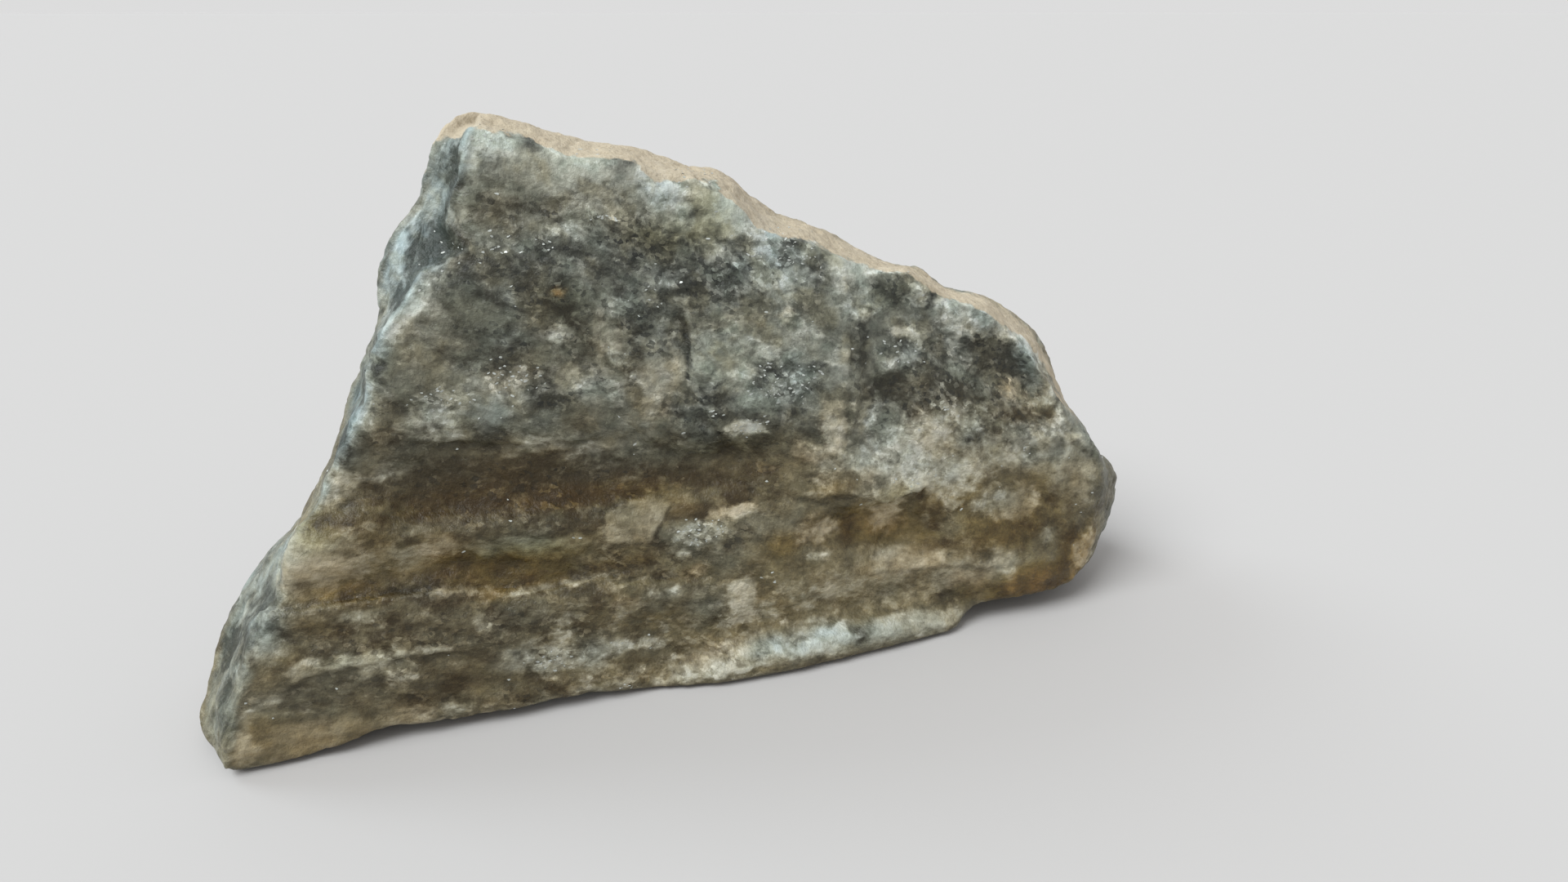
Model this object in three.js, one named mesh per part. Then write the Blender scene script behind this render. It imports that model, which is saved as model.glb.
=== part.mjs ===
// A hand-sized block of banded grey and white quartz: one natural piece, broken along its banding.
// It stands on its long side. The broad front face leans back a little, the top falls away to the
// right, and a thin tongue of white quartz sticks out along the foot of the face.
// Millimetres, +Z up. X runs along the foot of the front face, Y goes back into the stone.
import * as THREE from 'three';
import { ImprovedNoise } from 'three/addons/math/ImprovedNoise.js';
import { mergeVertices } from 'three/addons/utils/BufferGeometryUtils.js';

// Mesh steps along the stone, through it and up it.
const STEPS_ALONG = 52;
const STEPS_THROUGH = 12;
const STEPS_UP = 28;

// The front face leans back by this much for each millimetre of height.
const FRONT_LEAN = 0.14;

// How far through the stone the waist outline lies, as a share from front to back.
const WAIST_SHARE = 0.45;

// Slack of the curves drawn through the outline points: 0 is straight between them.
const EDGE_SLACK = 0.3;

// The banding runs down to the right, more steeply towards the right-hand end, and rises towards
// the back. Its relief is drawn out along it by the stretch.
const BAND_DIP = 0.06;
const BAND_SAG = 0.0006;
const BAND_BACK = 0.1;
const BAND_STRETCH = 3.2;

// Free relief over the whole skin: height and width of the lumps, the chips and the bands, and a
// shift in widths that keeps them from falling on each other.
const LUMP = { height: 0.75, width: 13, shift: 7 };
const CHIP = { height: 0.5, width: 5.5, shift: 3 };
const BAND = { height: 0.45, width: 3.4, shift: 5 };

// Below this height the free relief dies out, so that the worn foot stays flat.
const FOOT_FADE = 3;

// A swell or hollow has its full height out to the first share of its half size, and none at the
// second.
const FORM_FULL = 0.35;
const FORM_GONE = 1.35;

// A ledge or crack turns over this far to each side of its line, and dies out this far inside the
// line's ends.
const STEP_TURN = 0.9;
const STEP_END = 3;

// The skin belongs to the front or the back by the share of its outward direction that lies along
// Y: not at all below the first value, fully above the second.
const FACING_FROM = 0.3;
const FACING_FULL = 0.8;

// Points of the block's net that lie closer than this, as a share of its size, are one point.
const MERGE_WITHIN = 1e-4;

const STONE_COLOUR = 0x85857c;
const STONE_ROUGHNESS = 0.62;

// A point of the front outline is given as x, z: it lies on the leaning plane of the face.
function onFront([x, z]) {
  return [x, FRONT_LEAN * z, z];
}

// Three outlines, front to back. Each has a foot and a crest, drawn from left to right, and a left
// and a right side, drawn from the foot up. The corners are shared.
const frontOutline = {
  foot: [
    [0, 0, 0.4], [5, 0, 0.3], [9, 0, 0.7], [14, 0.1, 1.6], [26, 0.2, 1.4], [40, 0.1, 1.1], [50, -0.2, 0.2],
    [59, -1.7, -0.3], [67, -2.2, -0.3], [78, -1.5, -0.3], [92, -0.4, -0.3], [95, 0, 1.6],
    [98, 0.4, 2.9], [108, 0.4, 3.2], [112, 0.5, 3.6],
  ],
  crest: [
    [32.8, 68.9], [36, 69.9], [40, 69], [46.5, 66.4], [52, 66.2], [55, 63.8], [59, 64.1], [63, 61.4],
    [67, 57.9], [72.5, 56.2], [76, 54.3], [82.5, 51.2], [87, 50.6], [91.5, 47.7], [97.5, 45.6],
    [100.5, 43.1], [105, 38.8], [109.5, 32.6],
  ].map(onFront),
  left: [
    [0, 0.4], [-1, 4], [-0.4, 8], [1.4, 10.6], [3.2, 14], [4.6, 16.6], [7.9, 19.6], [8.3, 24.2],
    [11.8, 29], [14, 32], [16.4, 35.2], [17.9, 38.8], [21, 42.8], [22.2, 47.6], [24.8, 51.6],
    [28.4, 55.4], [32.4, 57.8], [33.6, 63], [32.8, 68.9],
  ].map(onFront),
  right: [
    [112, 3.6], [114.5, 6], [116.4, 10], [117.2, 15], [117.4, 20], [116, 24.5], [113.2, 28.6], [109.5, 32.6],
  ].map(onFront),
};
const waistOutline = {
  foot: [
    [-4.4, 9, 0.6], [12, 19, -1.6], [40, 20, -2], [80, 19, -1.6], [100, 16, 0.6], [112, 12, 3],
    [122.2, 9, 4.6],
  ],
  crest: [
    [32, 15, 70.2], [34.8, 18, 72.2], [38.6, 20, 71.2], [43, 20, 70], [49, 20, 67.8], [56, 20, 67.2],
    [61.5, 20, 64.2], [65.6, 20, 63.3], [70.3, 20, 59.6], [73, 20, 56.8], [77.2, 20, 55.7],
    [85.2, 20, 52.3], [90.2, 20, 48.8], [93.8, 20, 48.8], [100.4, 20, 44.8], [106.4, 20, 43],
    [111.2, 20, 40.2], [115.3, 19, 36], [117, 15, 30],
  ],
  left: [
    [-4.4, 9, 0.6], [-3.8, 9.5, 4], [-2.2, 13, 7.4], [-0.4, 14, 12.4], [2.2, 14, 16.4],
    [5.8, 14, 21], [9.4, 14, 23.9], [12.4, 14, 28.6], [14.6, 14, 32.9], [17.4, 14, 38.8],
    [20.4, 14, 44.8], [21.9, 14, 47.2], [22.6, 14, 51.4], [22.2, 14, 54.2], [24, 14, 57.6],
    [24.8, 14, 60], [28, 14, 61.6], [29.4, 14.5, 65.5], [32, 15, 70.2],
  ],
  right: [
    [122.2, 9, 4.6], [124.6, 9, 8], [126.2, 9, 13.4], [125, 9, 16.6], [121.6, 9.5, 19.7],
    [119.6, 10, 22.6], [117.8, 12, 26], [117, 15, 30],
  ],
};
const backOutline = {
  foot: [
    [-1, 33, 1.4], [14, 38, 0.8], [38, 41, 0.6], [66, 42.5, 0.8], [92, 40, 1.4], [114, 33, 4],
  ],
  crest: [
    [36, 27, 65], [46, 29, 64.4], [56, 31, 61], [68, 30.5, 57.6], [80, 29, 50], [94, 31, 44.4],
    [106, 31, 38.6], [116, 27, 32],
  ],
  left: [
    [-1, 33, 1.4], [3.4, 34, 9], [12.6, 35, 20], [19.6, 34, 33], [25, 33, 44], [30, 30, 57], [36, 27, 65],
  ],
  right: [
    [114, 33, 4], [118.6, 31, 13], [119.4, 30, 23], [116, 27, 32],
  ],
};

// Flat breaks on the back and the ends: nothing of the block stands out past these planes before
// its relief is added.
const breaks = [
  { normal: [0.05, 0.97, 0.24], reach: 47.2 },
  { normal: [-0.38, 0.92, 0.06], reach: 24.8 },
  { normal: [0.46, 0.86, 0.2], reach: 82.5 },
  { normal: [0.16, 0.7, 0.7], reach: 68.5 },
  { normal: [0.9, 0.42, -0.1], reach: 116.5 },
  { normal: [0.1, 0.9, -0.42], reach: 42.5 },
  { normal: [-0.72, 0.62, 0.3], reach: 20.5 },
];

// Broad swells (+) and hollows (-) of the front face: middle, half sizes along the banding and
// across it, turn in degrees from level, and height.
const frontForms = [
  { name: 'upper block', x: 58, z: 46, along: 36, across: 12, turn: -12, height: 1.2 },
  { name: 'hollow under it', x: 37, z: 31, along: 31, across: 5.4, turn: -6, height: -2 },
  { name: 'hollow below', x: 27, z: 20.6, along: 17, across: 3.2, turn: -4, height: -1.2 },
  { name: 'left knob', x: 12, z: 24.5, along: 6, across: 3.6, turn: -10, height: 1 },
  { name: 'lower left swell', x: 20, z: 11, along: 19, across: 3.6, turn: -4, height: 0.8 },
  { name: 'hollow under lip', x: 81, z: 16.6, along: 11, across: 4, turn: -9, height: -1.9 },
  { name: 'right shoulder', x: 97, z: 29, along: 15, across: 6, turn: -16, height: 1.1 },
  { name: 'low right swell', x: 101, z: 10, along: 13, across: 4.5, turn: -9, height: 1.2 },
  { name: 'dark hollow', x: 98, z: 38.5, along: 12, across: 3.6, turn: -24, height: -1.2 },
  { name: 'hollow over tongue', x: 76, z: 7.4, along: 19, across: 2, turn: -3, height: -1.2 },
  { name: 'upper left hollow', x: 29, z: 59, along: 3.4, across: 6, turn: 0, height: -1.6 },
];

// Swells and hollows of the back, in the same terms.
const backForms = [
  { name: 'top scoop', x: 62, z: 45, along: 17, across: 9, turn: -24, height: -2.6 },
  { name: 'middle rib', x: 58, z: 30, along: 34, across: 4, turn: -7, height: 1.6 },
  { name: 'long hollow', x: 66, z: 20, along: 36, across: 5, turn: -6, height: -1.9 },
  { name: 'left scoop', x: 24, z: 22, along: 9, across: 10, turn: 38, height: -2 },
  { name: 'right scoop', x: 103, z: 20, along: 10, across: 12, turn: 20, height: -1.8 },
  { name: 'foot rib', x: 54, z: 9, along: 36, across: 3.4, turn: -3, height: 1.2 },
  { name: 'high shoulder', x: 88, z: 38, along: 13, across: 5, turn: -30, height: 1.4 },
];

// Ledges of the front face: the stone on the upper side of each line stands proud of the lower
// side by the rise, or behind it where the rise is negative. Points run from left to right.
const ledges = [
  { name: 'block edge', line: [[52, 32.6], [60, 31.8], [70, 31]], rise: 0.9, reach: 3 },
  { name: 'shelf', line: [[13, 30], [21, 28.3], [30, 26.8], [46, 26.2]], rise: -1.1, reach: 3.4 },
  { name: 'long ledge', line: [[8, 19.4], [25, 18.9], [37, 16.6], [58, 14.4]], rise: -1.1, reach: 3.4 },
  { name: 'overhung lip', line: [[76, 22.6], [80, 21.4], [83.4, 20.1], [88, 21.2]], rise: 1.3, reach: 3.5 },
  { name: 'right ledge', line: [[102, 27.5], [107, 27], [113, 26]], rise: 0.8, reach: 3 },
  { name: 'tongue top', line: [[50, 1.4], [58, 3.8], [76, 4.4], [87, 3.6], [96, 2.4]], rise: -1.7, reach: 5 },
];

// Upright steps of the front face: the left side of each line stands proud of the right side.
const cracks = [
  { name: 'long crack', line: [[78.9, 43], [78.6, 34], [77, 29]], rise: 0.9, reach: 5 },
  { name: 'short crack', line: [[57.3, 48], [57, 40], [58.6, 35]], rise: -0.7, reach: 4 },
];

const noise = new ImprovedNoise();

// A soft step from 0 to 1 about zero.
function softStep(distance, width) {
  return THREE.MathUtils.smoothstep(distance, -width, width);
}

function edgeCurve(points) {
  const corners = points.map((point) => new THREE.Vector3(...point));
  return new THREE.CatmullRomCurve3(corners, false, 'catmullrom', EDGE_SLACK);
}

// The skin stretched between an outline's four sides: along and up run from 0 to 1.
function skinOf(outline) {
  const foot = edgeCurve(outline.foot);
  const crest = edgeCurve(outline.crest);
  const left = edgeCurve(outline.left);
  const right = edgeCurve(outline.right);
  const corner = (curve, share) => curve.getPoint(share);
  return (along, up) => {
    const point = new THREE.Vector3();
    point.addScaledVector(foot.getPointAt(along), 1 - up);
    point.addScaledVector(crest.getPointAt(along), up);
    point.addScaledVector(left.getPointAt(up), 1 - along);
    point.addScaledVector(right.getPointAt(up), along);
    point.addScaledVector(corner(foot, 0), -(1 - along) * (1 - up));
    point.addScaledVector(corner(foot, 1), -along * (1 - up));
    point.addScaledVector(corner(crest, 0), -(1 - along) * up);
    point.addScaledVector(corner(crest, 1), -along * up);
    return point;
  };
}

const skins = [frontOutline, waistOutline, backOutline].map(skinOf);

// A point of the block, given as shares along, through and up. It runs straight from the front
// skin to the waist, and on from there to the back.
function blockPoint(along, through, up) {
  const [front, waist, back] = skins.map((skin) => skin(along, up));
  if (through <= WAIST_SHARE) {
    return front.lerp(waist, through / WAIST_SHARE);
  }
  return waist.lerp(back, (through - WAIST_SHARE) / (1 - WAIST_SHARE));
}

// Signed distance above a line drawn from left to right, and how far inside its ends x lies.
function overLine(line, x, z) {
  const last = line.length - 1;
  const inside = Math.min(x - line[0][0], line[last][0] - x);
  let stretch = line.findIndex((point) => point[0] > x);
  stretch = THREE.MathUtils.clamp(stretch < 0 ? last : stretch, 1, last);
  const [x0, z0] = line[stretch - 1];
  const [x1, z1] = line[stretch];
  const share = (x - x0) / (x1 - x0);
  return { above: z - THREE.MathUtils.lerp(z0, z1, share), inside };
}

// A step that is sharp at the line and dies away on both sides over its reach.
function stepHeight({ rise, reach }, distance, inside) {
  const side = softStep(distance, STEP_TURN) - 0.5;
  const fade = Math.exp(-Math.abs(distance) / reach) * softStep(inside, STEP_END);
  return rise * side * 2 * fade;
}

function formHeight(form, x, z) {
  const turn = THREE.MathUtils.degToRad(form.turn);
  const along = (x - form.x) * Math.cos(turn) + (z - form.z) * Math.sin(turn);
  const across = (z - form.z) * Math.cos(turn) - (x - form.x) * Math.sin(turn);
  const away = Math.hypot(along / form.along, across / form.across);
  return form.height * (1 - THREE.MathUtils.smoothstep(away, FORM_FULL, FORM_GONE));
}

function formsHeight(forms, x, z) {
  return forms.reduce((height, form) => height + formHeight(form, x, z), 0);
}

function frontRelief(x, z) {
  let height = formsHeight(frontForms, x, z);
  for (const ledge of ledges) {
    const { above, inside } = overLine(ledge.line, x, z);
    height += stepHeight(ledge, above, inside);
  }
  for (const crack of cracks) {
    // An upright line is read with x and z changed over, from its lower end.
    const upright = crack.line.map(([lineX, lineZ]) => [lineZ, lineX]).reverse();
    const { above, inside } = overLine(upright, z, x);
    height += stepHeight(crack, -above, inside);
  }
  return height;
}

// Height measured across the banding: the same all along one band.
function bandLevel({ x, y, z }) {
  return z + BAND_DIP * x + BAND_SAG * x * x - BAND_BACK * y;
}

function freeRelief(point) {
  const lumpAt = point.clone().divideScalar(LUMP.width);
  const lump = noise.noise(lumpAt.x, lumpAt.y, lumpAt.z + LUMP.shift);
  const chipAt = point.clone().divideScalar(CHIP.width);
  const chip = noise.noise(chipAt.x + CHIP.shift, chipAt.y, chipAt.z);
  const bandAt = point.clone().divideScalar(BAND.width * BAND_STRETCH);
  const band = noise.noise(bandAt.x, bandAt.y + BAND.shift, bandLevel(point) / BAND.width);
  return LUMP.height * lump + CHIP.height * chip + BAND.height * band;
}

// Pushes a point back onto each break plane that it stands past.
function trimToBreaks(point) {
  for (const { normal, reach } of breaks) {
    const outward = new THREE.Vector3(...normal).normalize();
    const past = point.dot(outward) - reach;
    if (past > 0) {
      point.addScaledVector(outward, -past);
    }
  }
}

// Calls the change with every point of the geometry and its number, and stores the result.
function reshape(geometry, change) {
  const positions = geometry.attributes.position;
  const point = new THREE.Vector3();
  for (let i = 0; i < positions.count; i += 1) {
    point.fromBufferAttribute(positions, i);
    change(point, i);
    positions.setXYZ(i, point.x, point.y, point.z);
  }
}

function stoneGeometry() {
  const box = new THREE.BoxGeometry(1, 1, 1, STEPS_ALONG, STEPS_THROUGH, STEPS_UP);
  box.deleteAttribute('normal');
  box.deleteAttribute('uv');
  const geometry = mergeVertices(box, MERGE_WITHIN);
  reshape(geometry, (point) => {
    point.copy(blockPoint(point.x + 0.5, point.y + 0.5, point.z + 0.5));
    trimToBreaks(point);
  });

  geometry.computeVertexNormals();
  const normals = geometry.attributes.normal;
  const outward = new THREE.Vector3();
  reshape(geometry, (point, i) => {
    outward.fromBufferAttribute(normals, i);
    const facingFront = THREE.MathUtils.smoothstep(-outward.y, FACING_FROM, FACING_FULL);
    const facingBack = THREE.MathUtils.smoothstep(outward.y, FACING_FROM, FACING_FULL);
    const clearOfFoot = THREE.MathUtils.smoothstep(point.z, 0, FOOT_FADE);
    let height = facingFront * frontRelief(point.x, point.z);
    height += facingBack * clearOfFoot * formsHeight(backForms, point.x, point.z);
    height += clearOfFoot * freeRelief(point);
    point.addScaledVector(outward, height);
    point.z = Math.max(point.z, 0);
  });
  geometry.deleteAttribute('normal');
  return geometry;
}

const geometry = stoneGeometry();
geometry.computeBoundingBox();
const middle = geometry.boundingBox.getCenter(new THREE.Vector3());

const stoneMaterial = new THREE.MeshStandardMaterial({
  color: STONE_COLOUR,
  roughness: STONE_ROUGHNESS,
  metalness: 0,
});
const stone = new THREE.Mesh(geometry, stoneMaterial);
stone.name = 'quartz_rock';
// The origin is under the middle of the stone, on the surface that it stands on.
stone.position.set(-middle.x, -middle.y, 0);

const model = new THREE.Group();
model.add(stone);

export default model;
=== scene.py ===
import itertools
import math

import bmesh
import bpy
import numpy as np
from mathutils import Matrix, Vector


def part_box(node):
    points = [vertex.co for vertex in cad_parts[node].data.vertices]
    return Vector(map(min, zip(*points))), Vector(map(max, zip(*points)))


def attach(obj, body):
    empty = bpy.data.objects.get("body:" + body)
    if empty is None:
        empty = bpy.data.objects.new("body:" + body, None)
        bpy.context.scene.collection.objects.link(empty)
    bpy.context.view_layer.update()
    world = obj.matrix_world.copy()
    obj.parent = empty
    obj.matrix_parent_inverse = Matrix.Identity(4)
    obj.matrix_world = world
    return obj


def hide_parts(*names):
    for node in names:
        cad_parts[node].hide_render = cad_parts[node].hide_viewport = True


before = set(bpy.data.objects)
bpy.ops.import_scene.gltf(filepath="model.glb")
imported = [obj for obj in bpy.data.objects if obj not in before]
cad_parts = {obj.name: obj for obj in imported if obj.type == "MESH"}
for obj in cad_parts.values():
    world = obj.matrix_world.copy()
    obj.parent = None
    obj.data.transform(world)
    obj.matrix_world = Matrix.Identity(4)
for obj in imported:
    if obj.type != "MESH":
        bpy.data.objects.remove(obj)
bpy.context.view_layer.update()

MM = 0.001


# ---------------------------------------------------------------------------------------------
# The stone: one natural block of banded quartz, snapped across at the front and left as it broke.
# Grey see-through quartz holds dark mica, milky feldspar and thin pale bands. Damp hollows are
# stained brown and olive, the left edge is clear and bluish, and the top keeps a cream rind.
# The brown along the foot is partly painted warm light bounced up from below, and the blue of
# the left edges and rims is partly painted reflection of the cool window light.
# ---------------------------------------------------------------------------------------------

# The solid is rounded, covered with an even skin of this step, and smoothed. Its vertices that
# lie closer together than the first of these are joined before that.
SAME_POINT = 0.001 * MM
ROUNDING_LEVELS = 2
SKIN_STEP = 0.795 * MM
SMOOTH_PASSES = 3
# The place that the face is seen from, in millimetres from the foot's front left corner, and the
# lean of the face. Areas of the face are laid on the leaning plane as they are seen from there.
EYE = np.array((25.9, -114.6, 82.0))
FACE_LEAN = 0.14
# The skin's edges are cut in half once more where it is turned from the middle of the face to
# the eye by more than this, 1 being straight at it.
FACE_MIDDLE = (55, 0, 32)
FINE_FROM = 0.15
# The banding leans as in the solid: its fall to the right at the left end, the growth of that
# fall along the stone, and its rise towards the back.
BAND_DIP = 0.06
BAND_SAG = 0.0006
BAND_BACK = 0.1

# The foot's front left corner, as far as this in from the left and the front of the stone's box.
CORNER_IN = (4.21 * MM, 2.81 * MM)
stone_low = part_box("quartz_rock")[0]
corner = Vector((stone_low.x + CORNER_IN[0], stone_low.y + CORNER_IN[1], 0.0))

# Tables that all the noise is drawn from, and what brings it to about -1 to 1.
NOISE_SIZE = 256
SEED_STRIDE = 17
WAVE_GAIN = 1.6
rng = np.random.default_rng(41)
noise_order = rng.permutation(NOISE_SIZE)
noise_slopes = rng.normal(size=(NOISE_SIZE, 3))
noise_slopes /= np.linalg.norm(noise_slopes, axis=1)[:, None]
noise_spots = rng.random((NOISE_SIZE, 3))


def hashed(cells, seed):
    """The noise table's row for each cell of a grid."""
    pick = noise_order[(cells[:, 0] + seed * SEED_STRIDE) % NOISE_SIZE]
    pick = noise_order[(pick + cells[:, 1]) % NOISE_SIZE]
    return noise_order[(pick + cells[:, 2]) % NOISE_SIZE]


def wave(points, width, seed=0):
    """Smooth noise from about -1 to 1, in lumps of this width, one for all axes or one for each."""
    points = points / np.broadcast_to(width, 3)
    cells = np.floor(points).astype(int)
    inside = points - cells
    ease = inside ** 3 * (inside * (inside * 6 - 15) + 10)
    total = np.zeros(len(points))
    for step in itertools.product((0, 1), repeat=3):
        slopes = noise_slopes[hashed(cells + step, seed)]
        weight = np.prod(np.where(step, ease, 1 - ease), axis=1)
        total += weight * np.einsum("ij,ij->i", slopes, inside - step)
    return total * WAVE_GAIN


def rough(points, width, octaves, seed=0, keep=0.5):
    """Noise on several scales, each half as wide as the one before."""
    total = np.zeros(len(points))
    width = np.broadcast_to(width, 3).astype(float)
    height = 1.0
    for octave in range(octaves):
        total += height * wave(points, width, seed + octave)
        width = width / 2
        height *= keep
    return total


def facets(points, width, seed=0):
    """Distances to the nearest and second nearest of scattered seeds, in widths."""
    points = points / np.broadcast_to(width, 3)
    cells = np.floor(points).astype(int)
    first = np.full(len(points), 9.0)
    second = first.copy()
    for step in itertools.product((-1, 0, 1), repeat=3):
        near = cells + step
        away = np.linalg.norm(near + noise_spots[hashed(near, seed)] - points, axis=1)
        second = np.minimum(second, np.maximum(first, away))
        first = np.minimum(first, away)
    return first, second


def between(values, low, high):
    """0 below low, 1 above high, and a soft step between them."""
    share = np.clip((values - low) / (high - low), 0, 1)
    return share * share * (3 - 2 * share)


def solid_skin(node):
    """An even skin of small faces over a copy of a node, finer where it looks towards the eye."""
    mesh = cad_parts[node].data.copy()
    blank = bmesh.new()
    blank.from_mesh(mesh)
    bmesh.ops.remove_doubles(blank, verts=blank.verts, dist=SAME_POINT)
    blank.to_mesh(mesh)
    blank.free()
    piece = bpy.data.objects.new("banded_quartz_rock", mesh)
    bpy.context.scene.collection.objects.link(piece)
    rounding = piece.modifiers.new("rounding", "SUBSURF")
    rounding.levels = ROUNDING_LEVELS
    rounding.render_levels = ROUNDING_LEVELS
    skin = piece.modifiers.new("skin", "REMESH")
    skin.mode = "VOXEL"
    skin.voxel_size = SKIN_STEP
    bpy.context.view_layer.update()
    even = bpy.data.meshes.new_from_object(piece.evaluated_get(bpy.context.evaluated_depsgraph_get()))
    piece.modifiers.clear()
    piece.data = even

    fine = bmesh.new()
    fine.from_mesh(even)
    fine.normal_update()
    sight = (Vector(EYE) - Vector(FACE_MIDDLE)).normalized()
    front = [face for face in fine.faces if face.normal.dot(sight) > FINE_FROM]
    edges = list({edge for face in front for edge in face.edges})
    bmesh.ops.subdivide_edges(fine, edges=edges, cuts=1, use_grid_fill=True)
    fine.to_mesh(even)
    fine.free()
    return piece


def points_of(mesh):
    """The places of a mesh's vertices, one row each."""
    places = np.empty(len(mesh.vertices) * 3)
    mesh.vertices.foreach_get("co", places)
    return places.reshape(-1, 3)


def normals_of(mesh):
    """The directions that a mesh's vertices face, one row each."""
    directions = np.empty(len(mesh.vertices) * 3, dtype=np.float32)
    mesh.vertex_normals.foreach_get("vector", directions)
    return directions.reshape(-1, 3).astype(float)


def neighbour_mean(values, edges):
    """The mean of each vertex's neighbours, for one value or one row of values a vertex."""
    total = np.zeros_like(values)
    count = np.zeros(len(values))
    for here, there in ((0, 1), (1, 0)):
        np.add.at(total, edges[:, here], values[edges[:, there]])
        np.add.at(count, edges[:, here], 1)
    return total / (count if values.ndim == 1 else count[:, None])


def relaxed(values, edges, passes):
    """The values evened out with their neighbours a few times."""
    for _ in range(passes):
        values = 0.5 * values + 0.5 * neighbour_mean(values, edges)
    return values


stone = solid_skin("quartz_rock")
mesh = stone.data
edge_ends = np.empty(len(mesh.edges) * 2, dtype=int)
mesh.edges.foreach_get("vertices", edge_ends)
edge_ends = edge_ends.reshape(-1, 2)

places = relaxed(points_of(mesh), edge_ends, SMOOTH_PASSES)
mesh.vertices.foreach_set("co", places.ravel())
mesh.update()
outward = normals_of(mesh)

# Places in millimetres from the foot's front left corner, the same places with the height
# measured across the banding, and the places on the face's plane as the eye sees them.
spots = (places - np.array(corner)) / MM
band_level = spots[:, 2] + BAND_DIP * spots[:, 0] + BAND_SAG * spots[:, 0] ** 2
band_level -= BAND_BACK * spots[:, 1]
banded = np.column_stack((spots[:, 0], spots[:, 1], band_level))
sight = spots - EYE
reach = (FACE_LEAN * EYE[2] - EYE[1]) / (sight[:, 1] - FACE_LEAN * sight[:, 2])
on_face = (EYE + sight * reach[:, None])[:, (0, 2)]
seen = between(-np.einsum("ij,ij->i", outward, sight) / np.linalg.norm(sight, axis=1), 0.02, 0.25)
# The massive upper block, 0, passes into thin bands below, 1.
massive_edge = 3 * wave(spots, 14, seed=5)
thin_banded = 1 - between(spots[:, 2] + 0.12 * spots[:, 0] + massive_edge, 33, 42)
thin_banded *= 1 - 0.55 * between(spots[:, 0] + massive_edge, 60, 80) * between(spots[:, 2], 6, 10)
clear_of_foot = between(spots[:, 2], 0.2, 1.6)


def beside_line(line):
    """Distance of each seen place from a line, and on which side it lies, 1 on the left."""
    best = np.full(len(spots), 1e3)
    side = np.zeros(len(spots))
    for start, end in zip(line, line[1:]):
        start = np.array(start, float)
        run = np.array(end, float) - start
        share = np.clip((on_face - start) @ run / (run @ run), 0, 1)
        away = on_face - (start + share[:, None] * run)
        length = np.hypot(away[:, 0], away[:, 1])
        nearer = length < best
        best = np.where(nearer, length, best)
        side = np.where(nearer, np.sign(run[0] * away[:, 1] - run[1] * away[:, 0]), side)
    return best, side


def inside_outline(outline):
    """Distance of each seen place inside a closed outline, below 0 outside it."""
    distance = beside_line(outline + outline[:1])[0]
    crossings = np.zeros(len(spots), dtype=int)
    for (x0, z0), (x1, z1) in zip(outline, outline[1:] + outline[:1]):
        spans = (z0 > on_face[:, 1]) != (z1 > on_face[:, 1])
        rise = z1 - z0 if z1 != z0 else 1.0
        crossings += spans & (on_face[:, 0] < x0 + (on_face[:, 1] - z0) / rise * (x1 - x0))
    return np.where(crossings % 2 == 1, distance, -distance)


# Fine ledges and cracks of the face: line, height of the step on its left-hand side as the line
# is followed, and how far the step is felt.
steps = (
    # long ledge
    (((8, 19.3), (18, 19.2), (25, 18.8), (33, 17.4), (37, 16.4), (41, 16.9), (46, 16.8)), -0.4, 1.6),
    (((46.1, 15.7), (52, 15.2), (57, 14.2)), -0.35, 1.6),  # middle ledge
    (((9, 10.4), (14, 10.9), (20.8, 10.6), (26, 10.4)), 0.3, 1.4),  # low ledge
    (((102, 27.8), (107, 27.2), (113, 26.2)), -0.4, 1.5),  # right ledge
    (((76, 22.5), (78.6, 22), (80.2, 21.4), (83.2, 20.1), (87.3, 21.2)), 0.42, 1.6),  # lip
    (((57.2, 47), (57.3, 42.2), (56.9, 40.2), (57.7, 37.8), (58.5, 36), (60, 34)), 0.4, 1.8),  # short crack
    (((79.2, 45), (79, 37.3), (78.6, 33.8), (77.4, 30)), 0.28, 1.8),  # long crack
    (((48.7, 48), (49.3, 46.4), (49.6, 44.2)), 0.4, 1.4),  # plate edge
    (((45.2, 24.9), (47.8, 26.3), (51.3, 26.3), (54, 24.8), (51.9, 21.7)), -0.18, 1.2),  # flake top
    (((81, 10.6), (88, 10.0), (96, 9)), 0.1, 1.4),  # light band foot
    (((66, 23.6), (72, 22.6), (78, 20)), 0.2, 1.4),  # knob ledge
    (((24, 36.4), (31, 35.6), (37, 34.4), (45, 34.2)), 0.3, 1.4),  # block edge
)
# The edge between the face and the left flank, from the crest down to the foot.
flank_line = (
    (35, 69.5), (33.8, 66.6), (32.6, 63.8), (31.4, 60.5), (33.0, 57.2), (30, 55.6), (28, 54.8), (25.3, 51),
    (23, 48.8), (21.2, 46), (20.6, 42), (18, 38), (15.6, 34), (13.6, 30), (10.4, 27.6), (8.6, 24),
    (8.3, 20.6), (5, 18.2), (3.9, 12), (1.8, 8), (0.3, 3), (-0.5, 0))
flank_away, flank_side = beside_line(flank_line)
flank_wobble = 0.5 * wave(spots, 2.4, seed=15)
flank = between(-flank_side * flank_away + flank_wobble, -0.4, 0.5) * seen
left_end = between(-outward[:, 0], 0.25, 0.7) * (1 - seen)

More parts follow.
